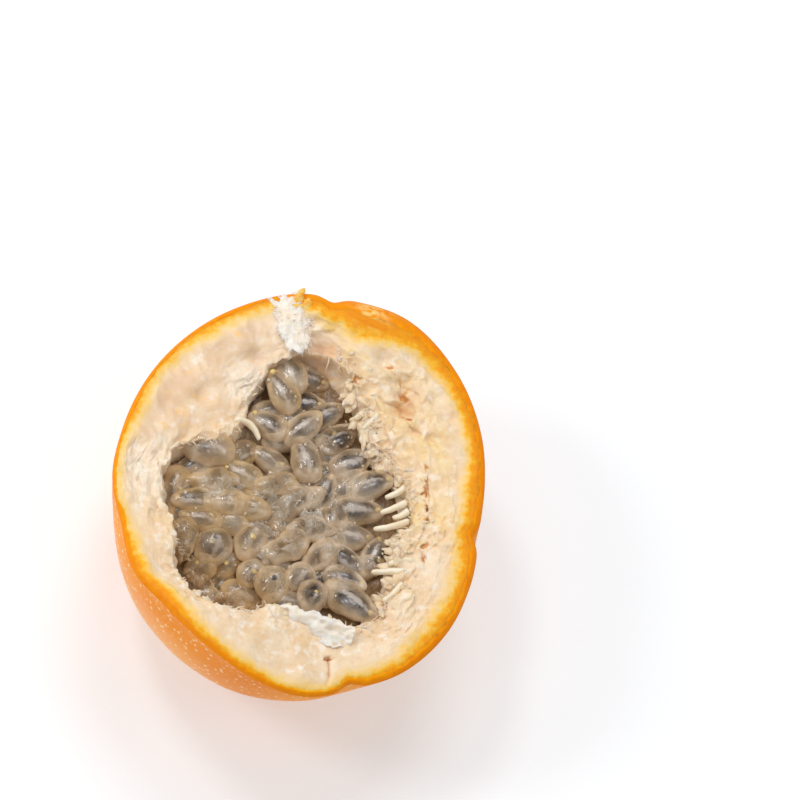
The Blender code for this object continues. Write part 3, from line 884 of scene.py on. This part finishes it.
tatters = {
    "flapAt": Vector((0.0010, -0.0240, 0.0346)),
    "flapSize": (0.0140, 0.0054),
    "flapThickness": 0.0007,
    "flapHeading": -14,
    "flapLean": 17,
    "tuftAt": (-0.2, 31.0, 35.7),  # mm
    "tuftSize": (4.3, 4.6, 1.3),
    "tuftRagged": 0.4,
    "tuftFluff": ((0.60, 2.1), (0.22, 0.9), (0.08, 0.40)),  # size, grain in mm
    "hairs": 140,
    "hairLength": (0.0004, 0.0010),
    "hairGirth": (0.00005, 0.00011),
    "hairTop": 0.0378,
    "flakes": (  # place, size, number
        ((0.0009, 0.0352, 0.0370), (0.0013, 0.0008, 0.0004), 3),
        ((0.0020, 0.0340, 0.0371), (0.0009, 0.0006, 0.0004), 5),
    ),
    "shreds": 300,
    "shredLength": (0.0006, 0.0022),
    "shredGirth": (0.00009, 0.00022),
    "fringe": 84,  # longer hairs at the bottom and the upper right
    "fringeLength": (0.0010, 0.0026),
    "fringeGirth": (0.00008, 0.00024),
    "crumbs": 50,
    "crumbSize": (0.00018, 0.00055),
    "lobes": 58,
    "lobeSize": ((0.0008, 0.0026), (0.0006, 0.0013), (0.0004, 0.0009)),
}


def makeFlap():
    mesh = bmesh.new()
    bmesh.ops.create_grid(mesh, x_segments=56, y_segments=26, size=0.5)
    length, width = tatters["flapSize"]
    for vertex in mesh.verts:
        along, across, _ = vertex.co
        reach = 1 - 1.8 * along * along + 0.35 * noise.noise(Vector((along * 7, 0.3, 0.9)))
        reach += 0.10 * noise.noise(Vector((along * 21, across * 2, 4.0)))
        reach += 0.04 * noise.noise(Vector((along * 50, 0, 6)))
        fold = 0.0009 * noise.noise(Vector((along * 4, across * 3, 0.4)))
        fold += 0.00035 * (0.5 - abs(noise.noise(Vector((along * 9, across * 5, 2.4)))) * 2)
        fold += 0.00005 * noise.noise(Vector((along * 24, across * 14, 3.3)))
        vertex.co = Vector((along * length, across * width * reach, fold))
    bmesh.ops.solidify(mesh, geom=mesh.faces, thickness=tatters["flapThickness"])
    bmesh.ops.recalc_face_normals(mesh, faces=mesh.faces)
    lean = Matrix.Rotation(math.radians(tatters["flapLean"]), 4, "X")
    turn = Matrix.Rotation(math.radians(tatters["flapHeading"]), 4, "Z") @ lean
    bmesh.ops.transform(mesh, matrix=Matrix.Translation(tatters["flapAt"]) @ turn, verts=mesh.verts)
    return mesh


def flapMaterial():
    paint = Paint("flapPith", Subsurface_Weight=0.5, Subsurface_Scale=0.0020, Specular_IOR_Level=0.4)
    paint.finish(Subsurface_Radius=(1.0, 0.75, 0.5))
    cloud = paint.patchy(0.0022, 4, 0.35, 0.68)
    colour = paint.mix(cloud, linear(247, 229, 210), linear(254, 244, 233))
    relief = paint.bump(paint.noise(0.0007, 4), 0.00006, 0.5)
    return paint.finish(Base_Color=colour, Roughness=0.45 + cloud * 0.2, Normal=relief)


def tuftPoint(way):
    # a flattened wad of pith, ragged at its border and fluffy on top
    out = Vector((way.x, way.y, 0)) * 1.6
    ragged = 1 + tatters["tuftRagged"] * (noise.noise(out + Vector((3, 1, 0))) + 0.5 * noise.noise(out * 3.1))
    spot = Vector([part * size for part, size in zip(way, tatters["tuftSize"])])
    spot.x *= ragged * (0.95 + 0.25 * way.y)
    spot.y *= ragged
    fluff = sum(size * noise.noise(spot / grain) for size, grain in tatters["tuftFluff"])
    fluff += 0.30 * (0.5 - abs(noise.noise(spot / 1.6 + Vector((7, 7, 7)))) * 2)
    spot += Vector((way.x, way.y, 0.8 * way.z)) * fluff
    return (Vector(tatters["tuftAt"]) + spot) * mm


def makeTuft():
    # the wad, with fine hairs standing out of it
    mesh = bmesh.new()
    draw = random.Random(8)
    addBall(mesh, tuftPoint, finer=6)
    for _ in range(tatters["hairs"]):
        way = Vector((draw.uniform(-1, 1), draw.uniform(-1, 1), draw.uniform(0, 0.7))).normalized()
        root = tuftPoint(way)
        away = (way + Vector([draw.uniform(-0.5, 0.5) for _ in range(3)])).normalized()
        bow = Vector((draw.uniform(-1, 1), draw.uniform(-1, 1), 0)) * 0.0002
        tip = root + away * draw.uniform(*tatters["hairLength"])
        tip.z = min(tip.z, tatters["hairTop"])
        rod(mesh, root - away * 0.0002, tip, draw.uniform(*tatters["hairGirth"]), 0.4, bow, sides=5, rings=6)
    return mesh


def makeFlake():
    mesh = bmesh.new()
    turn = Matrix.Rotation(math.radians(70), 3, "Z") @ Matrix.Rotation(math.radians(-25), 3, "Y")
    for place, size, number in tatters["flakes"]:
        clump(mesh, Vector(place), Vector(size), turn, number, 0.6, 0.0009, 4)
    return mesh


def flakeMaterial():
    paint = Paint("skinFlake", Subsurface_Weight=0.2, Subsurface_Scale=0.001)
    colour = paint.mix(paint.patchy(0.0009, 3, 0.35, 0.65), linear(246, 170, 30), linear(250, 208, 112))
    return paint.finish(Base_Color=colour, Roughness=0.5, Normal=paint.bump(paint.noise(0.0004, 3), 0.0001, 0.8))


def makeShreds():
    # thin fibres and crumbs of pith, thick along the hollow's edge and at the bottom
    mesh = bmesh.new()
    draw = random.Random(21)
    for number in range(tatters["shreds"]):
        azimuth = draw.choice((draw.uniform(215, 305), draw.uniform(-60, 75), draw.uniform(0, 360)))
        edge = hollowEdge(round(azimuth, 2))
        outwards = (edge - hollow["centre"]).normalized()
        outwards.z = 0
        root = edge + outwards * draw.uniform(-0.0003, 0.0026)
        root.z = cutTop(round(azimuth, 1)) - hollow["lipDrop"] * draw.uniform(0.7, 1.1) - 0.0002
        if smoothPart(root) > 0.4:
            continue
        way = -outwards * draw.uniform(0.2, 1) + Vector((draw.uniform(-0.9, 0.9), draw.uniform(-0.9, 0.9), 0))
        way.z = draw.uniform(-0.5, 0.35)
        tip = root + way.normalized() * draw.uniform(*tatters["shredLength"])
        bow = Vector((draw.uniform(-1, 1), draw.uniform(-1, 1), draw.uniform(-0.3, 0.6))) * 0.0003
        rod(mesh, root, tip, draw.uniform(*tatters["shredGirth"]), 0.35, bow, sides=5, rings=6)
    for number in range(tatters["fringe"]):
        azimuth = round(draw.uniform(225, 285) if number % 2 else draw.uniform(-10, 75), 2)
        edge = hollowEdge(azimuth)
        inwards = hollow["centre"] - edge
        inwards.z = 0
        inwards.normalize()
        root = edge - inwards * draw.uniform(0, 0.0012) - Vector((0, 0, draw.uniform(0.0002, 0.0012)))
        way = inwards + Vector((draw.uniform(-0.5, 0.5), draw.uniform(-0.5, 0.5), draw.uniform(-0.7, -0.05)))
        tip = root + way.normalized() * draw.uniform(*tatters["fringeLength"])
        bow = Vector((draw.uniform(-1, 1), draw.uniform(-1, 1), draw.uniform(-0.3, 0.8))) * 0.0006
        rod(mesh, root, tip, draw.uniform(*tatters["fringeGirth"]), 0.35, bow, sides=6, rings=9)
    for number in range(tatters["lobes"]):
        azimuth = round(draw.uniform(-50, 78) if number % 4 else draw.uniform(225, 290), 2)
        edge = hollowEdge(azimuth)
        heading = math.atan2(hollow["centre"].y - edge.y, hollow["centre"].x - edge.x) + draw.uniform(-1.2, 1.2)
        inwards = Vector((math.cos(heading), math.sin(heading), 0))
        spot = edge + inwards * draw.uniform(-0.0006, 0.0009) - Vector((0, 0, draw.uniform(0.0004, 0.0024)))
        size = Vector([draw.uniform(*span) for span in tatters["lobeSize"]])
        turn = Matrix.Rotation(heading, 3, "Z") @ Matrix.Rotation(draw.uniform(0.0, 0.6), 3, "Y")
        clump(mesh, spot, size, turn, number * 0.71 + 50, 0.85, 0.0013, 4)
    for number in range(tatters["crumbs"]):
        azimuth = round(draw.uniform(-60, 80), 2)
        part = draw.random() ** 0.8
        spot = cutPoint(0.65 + 0.35 * part, azimuth)[0]
        if smoothPart(spot) > 0.3:
            continue
        size = Vector([draw.uniform(*tatters["crumbSize"]) for _ in range(3)])
        turn = Matrix.Rotation(draw.uniform(0, 3), 3, "X") @ Matrix.Rotation(draw.uniform(0, 3), 3, "Z")
        clump(mesh, spot - Vector((0, 0, size.z * 0.3)), size, turn, number * 0.37, 0.6, 0.0005, 2)
    markAll(mesh, edge=12.0)
    return mesh


addPiece("flap", makeFlap(), flapMaterial(), "rind")
addPiece("tuft", makeTuft(), flapMaterial(), "rind")
addPiece("flake", makeFlake(), flakeMaterial(), "rind")
addPiece("shreds", makeShreds(), pithPaint, "rind")

# ---- pulp: a jelly core, and the seeds in their sacs

pulp = {
    "clearance": 0.0004,
    "drop": 0.0052,  # the core's surface below the cut
    "basin": ((-0.0130, -0.0130), 0.0075, 0.0046),  # centre, radius, depth
    "sink": 0.0010,  # how far the juice has sunk between the sacs
    "steps": 240,
    "topStations": 60,
    "sideFrom": 0.24,  # part of the way down the hollow where its side begins
}
sacs = {
    "size": Vector((0.0086, 0.0049, 0.0042)),
    "lean": 12,
    "clearFrom": -0.009,  # to the right of here the sacs are clearer, to the left more amber
    "clearOver": 0.012,
    "smallest": 0.9,
    "shown": (  # x mm, y mm, heading, height above the core in mm: the fan from the ridge on +X
        (7.0, 23.0, 45, 0.7), (9.7, 17.8, 33, 0.9), (7.7, 11.7, 35, 1.0), (9.7, 6.9, 28, 0.9),
        (14.5, 3.7, 15, 1.2), (10.5, -1.1, -3, 1.0), (8.9, -5.7, -5, 0.9), (15.7, -7.5, -18, 0.6),
        (12.7, -10.0, -22, 0.8), (8.1, -10.8, -30, 1.2), (7.7, -14.0, -20, 0.7), (8.6, -18.6, -38, 1.2),
        (14.7, -14.2, -10, 0.2), (9.3, 3.4, 40, 0.0),
        # the fan from the ridge on -X, +Y
        (-0.2, 21.1, -78, 1.4), (-4.0, 18.4, -45, 0.9), (-4.5, 13.6, -30, 1.1), (-7.9, 9.6, -35, 0.9),
        (-4.0, 7.3, -30, 0.9), (-14.4, 7.7, -22, 1.5), (-20.3, 5.1, -60, 0.7), (-14.6, 2.5, 0, 1.2),
        (-9.4, 4.1, -20, 0.6), (1.5, 12.9, 40, 1.5), (1.6, 7.1, -80, 1.5), (-3.8, 2.3, 10, 1.2),
        # the ones seen end on, round the basin
        (-18.0, -1.0, 5, 1.2), (-12.6, -1.3, -3, 1.2), (-8.5, -1.9, -15, 1.1), (-16.5, -3.8, -5, 0.9),
        (-12.0, -4.2, -10, 0.8), (-14.6, -8.4, 60, 1.1), (-8.1, -7.7, 70, 1.0), (-8.0, -13.0, 50, 1.4),
        (-2.3, -8.8, 30, 1.0), (-16.4, -11.4, 20, 0.6), (-11.8, -10.5, 80, 0.4), (-4.6, -15.2, 90, 0.8),
        (1.8, -17.5, 75, 0.9), (-0.2, -14.0, 30, 0.5), (2.0, -5.4, 0, 1.1), (3.3, -10.5, 40, 0.7),
        (-19.2, -7.2, 80, 0.1), (0.6, 0.0, 20, 0.9), (4.6, 1.6, 60, 0.3), (-2.2, 19.2, -62, 2.2),
    ),
    "crumpled": (21, 25, 34, 40, 41, 43),  # clear ones, with no seed to be seen
    "endOn": (31, 32, 33, 35, 36, 37, 38, 39),
    "bigger": {
        2: 1.1, 3: 1.15, 4: 1.12, 5: 1.18, 6: 1.12, 7: 1.1, 8: 1.12, 9: 1.1, 11: 1.24, 14: 1.18, 19: 1.36, 23: 1.1,
        24: 1.16, 31: 1.3, 32: 1.15, 34: 1.1, 37: 1.2, 45: 1.1,
    },
    "free": {14: (-0.5, 23.2), 19: (-16.0, 8.8), 45: (-2.2, 19.2)},  # these swell over the pith's edge
    "round": Vector((0.0062, 0.0054, 0.0050)),  # the ones seen end on
    "fillers": 62,
    "fillerSpacing": 0.0030,
    "fillerHeight": -0.0005,
    "fillerDraws": 2500,
    "fringeInset": 0.0034,
    "fringeStep": 6,
    "outlineSteps": 12,
    "seed": 11,
}


def pulpSurface(x, y):
    centre, radius, depth = pulp["basin"]
    return cutHeight - pulp["drop"] - depth * hill((x, y), centre, radius)


def corePoint(part, azimuth):
    # on the core's top: part 0 is its edge, 1 its centre
    reach = (hollowRadius(azimuth) - pulp["clearance"] - 0.0006) * (1 - part)
    point = aroundAxis(reach, 0, azimuth, hollow["centre"])
    wave = noise.noise(Vector((point.x, point.y, 0.3)) / 0.0024)
    wave += 0.5 * noise.noise(Vector((point.x, point.y, 0.8)) / 0.001)
    point.z = pulpSurface(point.x, point.y) - pulp["sink"] + 0.00035 * wave * min(1, 8 * part)
    return point, {}


def coreSide(part, azimuth):
    down = math.radians(90 * part)
    reach = (hollowRadius(azimuth) - pulp["clearance"]) * math.cos(down) ** hollow["wallCurve"]
    top = cutHeight - hollow["lipDrop"]
    height = top - (top - hollow["floor"] - pulp["clearance"]) * math.sin(down) ** hollow["wallFall"]
    return aroundAxis(reach, height, azimuth, hollow["centre"]), {}


def makeCore():
    stations = stationsOf(corePoint, pulp["topStations"])[::-1]
    stations += stationsOf(coreSide, 14, first=pulp["sideFrom"])
    return turned(stations, pulp["steps"])


def clearOfStalks(centre, heading):
    width = sacs["size"].y / 2
    reach = aroundAxis(sacs["size"].x / 2 - width, 0, heading)
    along = [centre + reach * (step / 4) for step in range(-4, 5)]
    for root, tip in stalkEnds():
        for step in range(7):
            point = root.lerp(tip, step / 6)
            if min((point - spot).length for spot in along) < width + stalks["girth"] + pulp["clearance"]:
                return False
    return True


def hollowReach(azimuth, height):
    top = cutHeight - hollow["lipDrop"]
    drop = min(1, max(0, (top - height) / (top - hollow["floor"])))
    return hollowRadius(azimuth) * math.cos(math.asin(drop ** (1 / hollow["wallFall"]))) ** hollow["wallCurve"]


def clearOfWall(centre, heading):
    for step in range(sacs["outlineSteps"]):
        turn = math.tau * step / sacs["outlineSteps"]
        edge = Vector((sacs["size"].x / 2 * math.cos(turn), sacs["size"].y / 2 * math.sin(turn), 0))
        edge = centre - hollow["centre"] + Matrix.Rotation(math.radians(heading), 3, "Z") @ edge
        azimuth = math.degrees(math.atan2(edge.y, edge.x))
        if Vector(edge[:2]).length > hollowReach(azimuth, centre.z) - pulp["clearance"]:
            return False
    return True


def settled(centre, heading):
    # a sac's place, moved inwards off the wall and down off the stalks
    centre = centre.copy()
    inwards = (hollow["centre"] - centre).normalized() * 0.0004
    inwards.z = 0
    for _ in range(12):
        if clearOfWall(centre, heading):
            break
        centre += inwards
    for _ in range(8):
        if clearOfStalks(centre, heading):
            return centre if clearOfWall(centre, heading) else None
        centre.z -= 0.0004
    return None


def sacPlaces():
    # the shown sacs, then seeded fillers between them, as (number in the list above or None, centre, heading)
    draw = random.Random(sacs["seed"])
    places = []
    for number, (x, y, heading, height) in enumerate(sacs["shown"]):
        centre = Vector((x * mm, y * mm, 0))
        centre.z = pulpSurface(centre.x, centre.y) + height * mm
        place = settled(centre, heading)
        if number in sacs["free"]:
            x, y = sacs["free"][number]
            place = Vector((x * mm, y * mm, centre.z))
        if place:
            places.append((number, place, heading))
    fringe = [
        (hollowRadius(turn) - sacs["fringeInset"], turn, turn + 90) for turn in range(0, 360, sacs["fringeStep"])
    ]
    within = [
        (hollow["radius"] * math.sqrt(draw.random()), draw.uniform(0, 360), draw.uniform(0, 180))
        for _ in range(sacs["fillerDraws"])
    ]
    wanted = len(places) + sacs["fillers"]
    for reach, turn, heading in fringe + within:
        spot = aroundAxis(reach, 0, turn, hollow["centre"])
        spot.z = pulpSurface(spot.x, spot.y) + sacs["fillerHeight"]
        apart = min((Vector(spot[:2]) - Vector(other[:2])).length for _, other, _ in places)
        fits = apart > sacs["fillerSpacing"] and clearOfWall(spot, heading) and clearOfStalks(spot, heading)
        if fits and len(places) < wanted:
            places.append((None, spot, heading))
    return places


def sacTurns():
    # each sac's place, turn and size
    draw = random.Random(sacs["seed"] + 1)
    found = []
    for number, centre, heading in sacPlaces():
        lean = draw.uniform(-sacs["lean"], sacs["lean"])
        size = draw.uniform(sacs["smallest"], 1) * sacs["bigger"].get(number, 1)
        outer = (centre - hollow["centre"]).dot(aroundAxis(1, 0, heading))
        if outer < 0:  # its stalk end, which is the narrower one, points at the wall
            heading, lean = heading + 180, -lean
        turn = Matrix.Rotation(math.radians(heading), 3, "Z") @ Matrix.Rotation(math.radians(lean), 3, "Y")
        found.append((number, centre, turn, size))
    return found


def sacHalf(number, size):
    return (sacs["round"] if number in sacs["endOn"] else sacs["size"]) * size / 2


def windowPart(way, shift):
    # 1 over the seed, where the sac's skin is clear
    off = math.hypot(way.z, way.y) + 0.22 * noise.noise(way * 1.7 + shift)
    part = min(1, max(0, (0.90 - off) / 0.42))
    return part * part * (3 - 2 * part) if way.x > 0 else 0


sacList = sacTurns()


def makeSacs():
    mesh = bmesh.new()
    draw = random.Random(17)
    for index, (number, centre, turn, size) in enumerate(sacList):
        clear = min(1, max(0, (centre.x - sacs["clearFrom"]) / sacs["clearOver"]))
        seen = min(1, draw.uniform(0.30, 0.85) + 0.55 * clear)
        amber = min(1, max(0, 1 - clear + draw.uniform(-0.4, 0.3)))
        crumpled = number in sacs["crumpled"]
        rough = 0.26 if crumpled else 0.10
        shift = Vector((index * 5.3, 1.7, index * 2.9))
        half = sacHalf(number, size)

        def shape(way):
            narrow = 1 - 0.24 * way.z
            spot = Vector((way.z * half.x, way.y * half.y * narrow, way.x * half.z * narrow))
            swell = noise.noise(spot / 0.0026 + shift) + 0.6 * noise.noise(spot / 0.0012 + shift) * crumpled
            crease = 0.5 - abs(noise.noise(spot / 0.0019 - shift)) * 2
            return centre + turn @ (spot * (1 + rough * swell + 0.35 * rough * crease))

        tones = {"window": lambda way: seen * windowPart(way, shift), "amber": lambda way: amber}
        addBall(mesh, shape, around=30, rings=20, **tones)
    return mesh


seeds = {
    "half": Vector((0.0029, 0.00165, 0.00105)),
    "roll": 35,
    "swing": 9,
    "endOnSwing": (62, 84),
    "along": 0.0004,
    "below": 0.0001,
}


def makeSeeds():
    mesh = bmesh.new()
    draw = random.Random(31)
    for index, (number, centre, turn, size) in enumerate(sacList):
        roll = Matrix.Rotation(math.radians(draw.uniform(-seeds["roll"], seeds["roll"])), 3, "X")
        swing = Matrix.Rotation(math.radians(draw.uniform(-seeds["swing"], seeds["swing"])), 3, "Z")
        along = draw.uniform(-seeds["along"], seeds["along"])
        if number in sacs["crumpled"]:
            continue
        if number in sacs["endOn"]:
            swing = Matrix.Rotation(math.radians(draw.uniform(*seeds["endOnSwing"])), 3, "Y")
        half = seeds["half"] * size

        def shape(way):
            pinch = 1 - 0.22 * abs(way.z) ** 3
            spot = Vector((way.z * half.x, way.y * half.y * pinch, way.x * half.z * pinch))
            spot *= 1 + 0.02 * noise.noise(spot / 0.0005 + Vector((index, 0, 0)))
            return centre + turn @ (swing @ roll @ spot + Vector((along, 0, -seeds["below"])))

        addBall(mesh, shape, around=24, rings=16, across=lambda way: way.y)
    return mesh


tips = {
    "along": 0.74,
    "sideways": 0.0004,
    "endOnSideways": 0.0006,
    "size": (0.00034, 0.00052),
    "flat": 0.6,
}


def makeTips():
    # the yellow spot at each sac's stalk end
    mesh = bmesh.new()
    draw = random.Random(41)
    for index, (number, centre, turn, size) in enumerate(sacList):
        if number in sacs["crumpled"]:
            continue
        half = sacHalf(number, size)
        sideways = draw.uniform(-tips["sideways"], tips["sideways"])
        end = Vector((half.x * tips["along"], sideways, half.z * draw.uniform(0.2, 0.5)))
        if number in sacs["endOn"]:
            along = half.x * draw.uniform(-0.3, 0.2)
            end = Vector((along, draw.uniform(-tips["endOnSideways"], tips["endOnSideways"]), half.z * 0.80))
        scale = draw.uniform(*tips["size"])
        clump(mesh, centre + turn @ end, Vector((scale, scale, scale * tips["flat"])), turn, index, 0.3, 0.0006, 2)
    return mesh


beads = {"count": 340, "size": (0.00010, 0.00034), "turn": 1.2, "along": 0.75}


def makeBeads():
    # crumbs and drops of clear jelly on the sacs
    mesh = bmesh.new()
    draw = random.Random(51)
    for index in range(beads["count"]):
        number, centre, turn, size = draw.choice(sacList)
        half = sacHalf(number, size)
        angle = draw.uniform(-beads["turn"], beads["turn"])
        along = draw.uniform(-beads["along"], beads["along"])
        ring = math.sqrt(1 - along * along)
        spot = Vector((along * half.x, math.sin(angle) * ring * half.y, math.cos(angle) * ring * half.z))
        bead = Vector([draw.uniform(*beads["size"]) for _ in range(3)])
        twist = Matrix.Rotation(draw.uniform(0, 3), 3, "Z")
        clump(mesh, centre + turn @ spot, bead, twist, index, 0.5, 0.0003, 2)
    return mesh


films = {
    "clear": (  # x, y, z below the cut, size, heading, all in mm and degrees
        (-1.5, -1.0, 2.9, 7.0, 20), (2.4, -3.6, 3.1, 6.5, 100), (-4.6, 1.6, 3.1, 6.0, 60), (1.0, 3.6, 3.4, 5.0, 140),
        (-6.5, -5.4, 3.2, 5.4, 10), (4.8, -8.2, 3.5, 5.4, 70), (-11.5, 1.8, 2.8, 5.6, 160),
        (-0.5, -8.5, 3.1, 5.2, 45), (-14.5, 0.6, 2.8, 5.0, 30), (-5.5, -10.5, 3.6, 4.8, 120),
        (5.4, 0.4, 3.6, 4.6, 80),
    ),
    "brown": (
        (-20.4, -6.0, 4.4, 4.4, 80), (-19.8, -10.0, 4.8, 4.6, 100), (-17.2, -13.8, 5.3, 4.8, 130),
        (-12.6, -18.0, 5.4, 4.6, 150),
    ),
    "breadth": 0.72,
    "thickness": 0.00016,
    "crumple": 0.0011,
    "droop": 0.0010,
}


def makeFilms(places):
    # thin crumpled skins of jelly
    mesh = bmesh.new()
    for number, (x, y, below, size, heading) in enumerate(places):
        film = bmesh.new()
        bmesh.ops.create_grid(film, x_segments=34, y_segments=26, size=0.5)
        shift = Vector((number * 4.7, number * 2.1, 0.5))
        for vertex in film.verts:
            along, across, _ = vertex.co
            way = Vector((along, across, 0)) * 2
            reach = 0.78 + 0.5 * noise.noise(way.normalized() * 1.6 + shift) if way.length else 1
            flat = Vector((along * size, across * size * films["breadth"], 0)) * reach * mm
            ridge = 0.5 - abs(noise.noise(flat / 0.0014 + shift)) * 2 + 0.5 * noise.noise(flat / 0.0006 + shift)
            vertex.co = flat + Vector((0, 0, films["crumple"] * ridge - films["droop"] * way.length_squared))
        bmesh.ops.solidify(film, geom=film.faces, thickness=films["thickness"])
        turn = Matrix.Rotation(math.radians(heading), 4, "Z")
        place = Vector((x * mm, y * mm, cutHeight - below * mm))
        bmesh.ops.transform(film, matrix=Matrix.Translation(place) @ turn, verts=film.verts)
        film.to_mesh(workMesh)
        film.free()
        mesh.from_mesh(workMesh)
    return mesh


def filmMaterial(name, pale, dark, cover):
    paint = Paint(name, Coat_Weight=1.0, Coat_Roughness=0.03, Specular_IOR_Level=0.8)
    cloud = paint.noise(0.0016, 4)
    paint.seeThrough(cover + paint.facing(0.4) * 0.5 + (cloud - 0.5) * 0.6)
    colour = paint.mix(paint.between(cloud, 0.35, 0.65), dark, pale)
    return paint.finish(Base_Color=colour, Roughness=0.08, Normal=paint.bump(paint.noise(0.0007, 4), 0.0002, 0.6))


def coreMaterial():
    paint = Paint("pulpJuice", Specular_IOR_Level=0.5)
    cloud = paint.patchy(0.0050, 3, 0.35, 0.65)
    colour = paint.mix(cloud, linear(112, 82, 46), linear(156, 124, 84))
    colour = paint.mix(paint.patchy(0.0014, 3, 0.5, 0.7) * 0.4, colour, linear(184, 160, 128))
    relief = paint.bump(paint.noise(0.0011, 4), 0.0004, 0.7)
    return paint.finish(Base_Color=colour, Roughness=0.16, Normal=relief)


def sacMaterial():
    # milky skin round clear jelly: the seed shows through its middle, and its edge is paler
    paint = Paint("sacJelly", Coat_Weight=1.0, Coat_Roughness=0.03, Specular_IOR_Level=0.9)
    cloud = paint.patchy(0.0038, 3, 0.35, 0.68)
    colour = paint.mix(cloud, linear(217, 186, 148), linear(242, 220, 192))
    yellow = paint.attribute("amber") * paint.patchy(0.0050, 2, 0.30, 0.60) * 0.8
    colour = paint.mix(yellow, colour, linear(230, 190, 128))
    wrinkle = paint.noise(0.0012, 4)
    cover = 0.56 - paint.attribute("window") * 0.48 + paint.facing(0.5) * 0.34 + (cloud - 0.5) * 0.22
    paint.seeThrough(cover)
    relief = paint.bump(wrinkle, 0.00024, 0.7)
    return paint.finish(Base_Color=colour, Roughness=0.06 + 0.10 * wrinkle, Normal=relief)


def seedMaterial():
    # dark slate, with a silvery streak along it that is a painted highlight
    paint = Paint("seedCoat", Coat_Weight=0.6, Coat_Roughness=0.12, Specular_IOR_Level=0.7)
    cloud = paint.patchy(0.0016, 4, 0.35, 0.65)
    colour = paint.mix(cloud, linear(42, 36, 36), linear(84, 76, 74))
    offMiddle = paint.node("ShaderNodeMath", {"operation": "ABSOLUTE"}, {0: paint.attribute("across") - 0.15})
    # painted highlight: a pale streak a little off each seed's middle, where the lamps would shine on it
    paintedHighlightStreak = 1 - paint.between(offMiddle + (paint.noise(0.0010, 3) - 0.5) * 0.9, 0.04, 0.42)
    colour = paint.mix(paintedHighlightStreak * 0.8, colour, linear(210, 200, 192))
    brown = paint.patchy(0.0090, 1, 0.5, 0.65) * 0.3
    colour = paint.mix(brown, colour, linear(118, 96, 74))
    relief = paint.bump(paint.cells(0.00045), 0.00006, 0.5)
    return paint.finish(Base_Color=colour, Roughness=0.26 + cloud * 0.15, Normal=relief)


def tipMaterial():
    paint = Paint("yellowTip", Subsurface_Weight=0.2, Subsurface_Scale=0.001)
    colour = paint.mix(paint.noise(0.0006, 2), linear(226, 190, 100), linear(240, 216, 150))
    return paint.finish(Base_Color=colour, Roughness=0.4)


def beadMaterial():
    paint = Paint("clearBead", Coat_Weight=1.0, Coat_Roughness=0.03, Specular_IOR_Level=0.9)
    colour = paint.mix(paint.noise(0.002, 2), linear(232, 220, 202), linear(222, 202, 170))
    paint.seeThrough(0.45 + paint.facing(0.5) * 0.45)
    return paint.finish(Base_Color=colour, Roughness=0.05)


addPiece("jellyCore", makeCore(), coreMaterial(), "pulp")
addPiece("jellySacs", makeSacs(), sacMaterial(), "pulp")
addPiece("seeds", makeSeeds(), seedMaterial(), "pulp")
addPiece("sacTips", makeTips(), tipMaterial(), "pulp")
addPiece("jellyBeads", makeBeads(), beadMaterial(), "pulp")
clearFilm = filmMaterial("clearFilm", linear(246, 238, 226), linear(212, 196, 172), 0.20)
addPiece("clearFilms", makeFilms(films["clear"]), clearFilm, "pulp")
brownFilm = filmMaterial("brownFilm", linear(214, 184, 146), linear(174, 138, 98), 0.40)
addPiece("brownFilms", makeFilms(films["brown"]), brownFilm, "pulp")
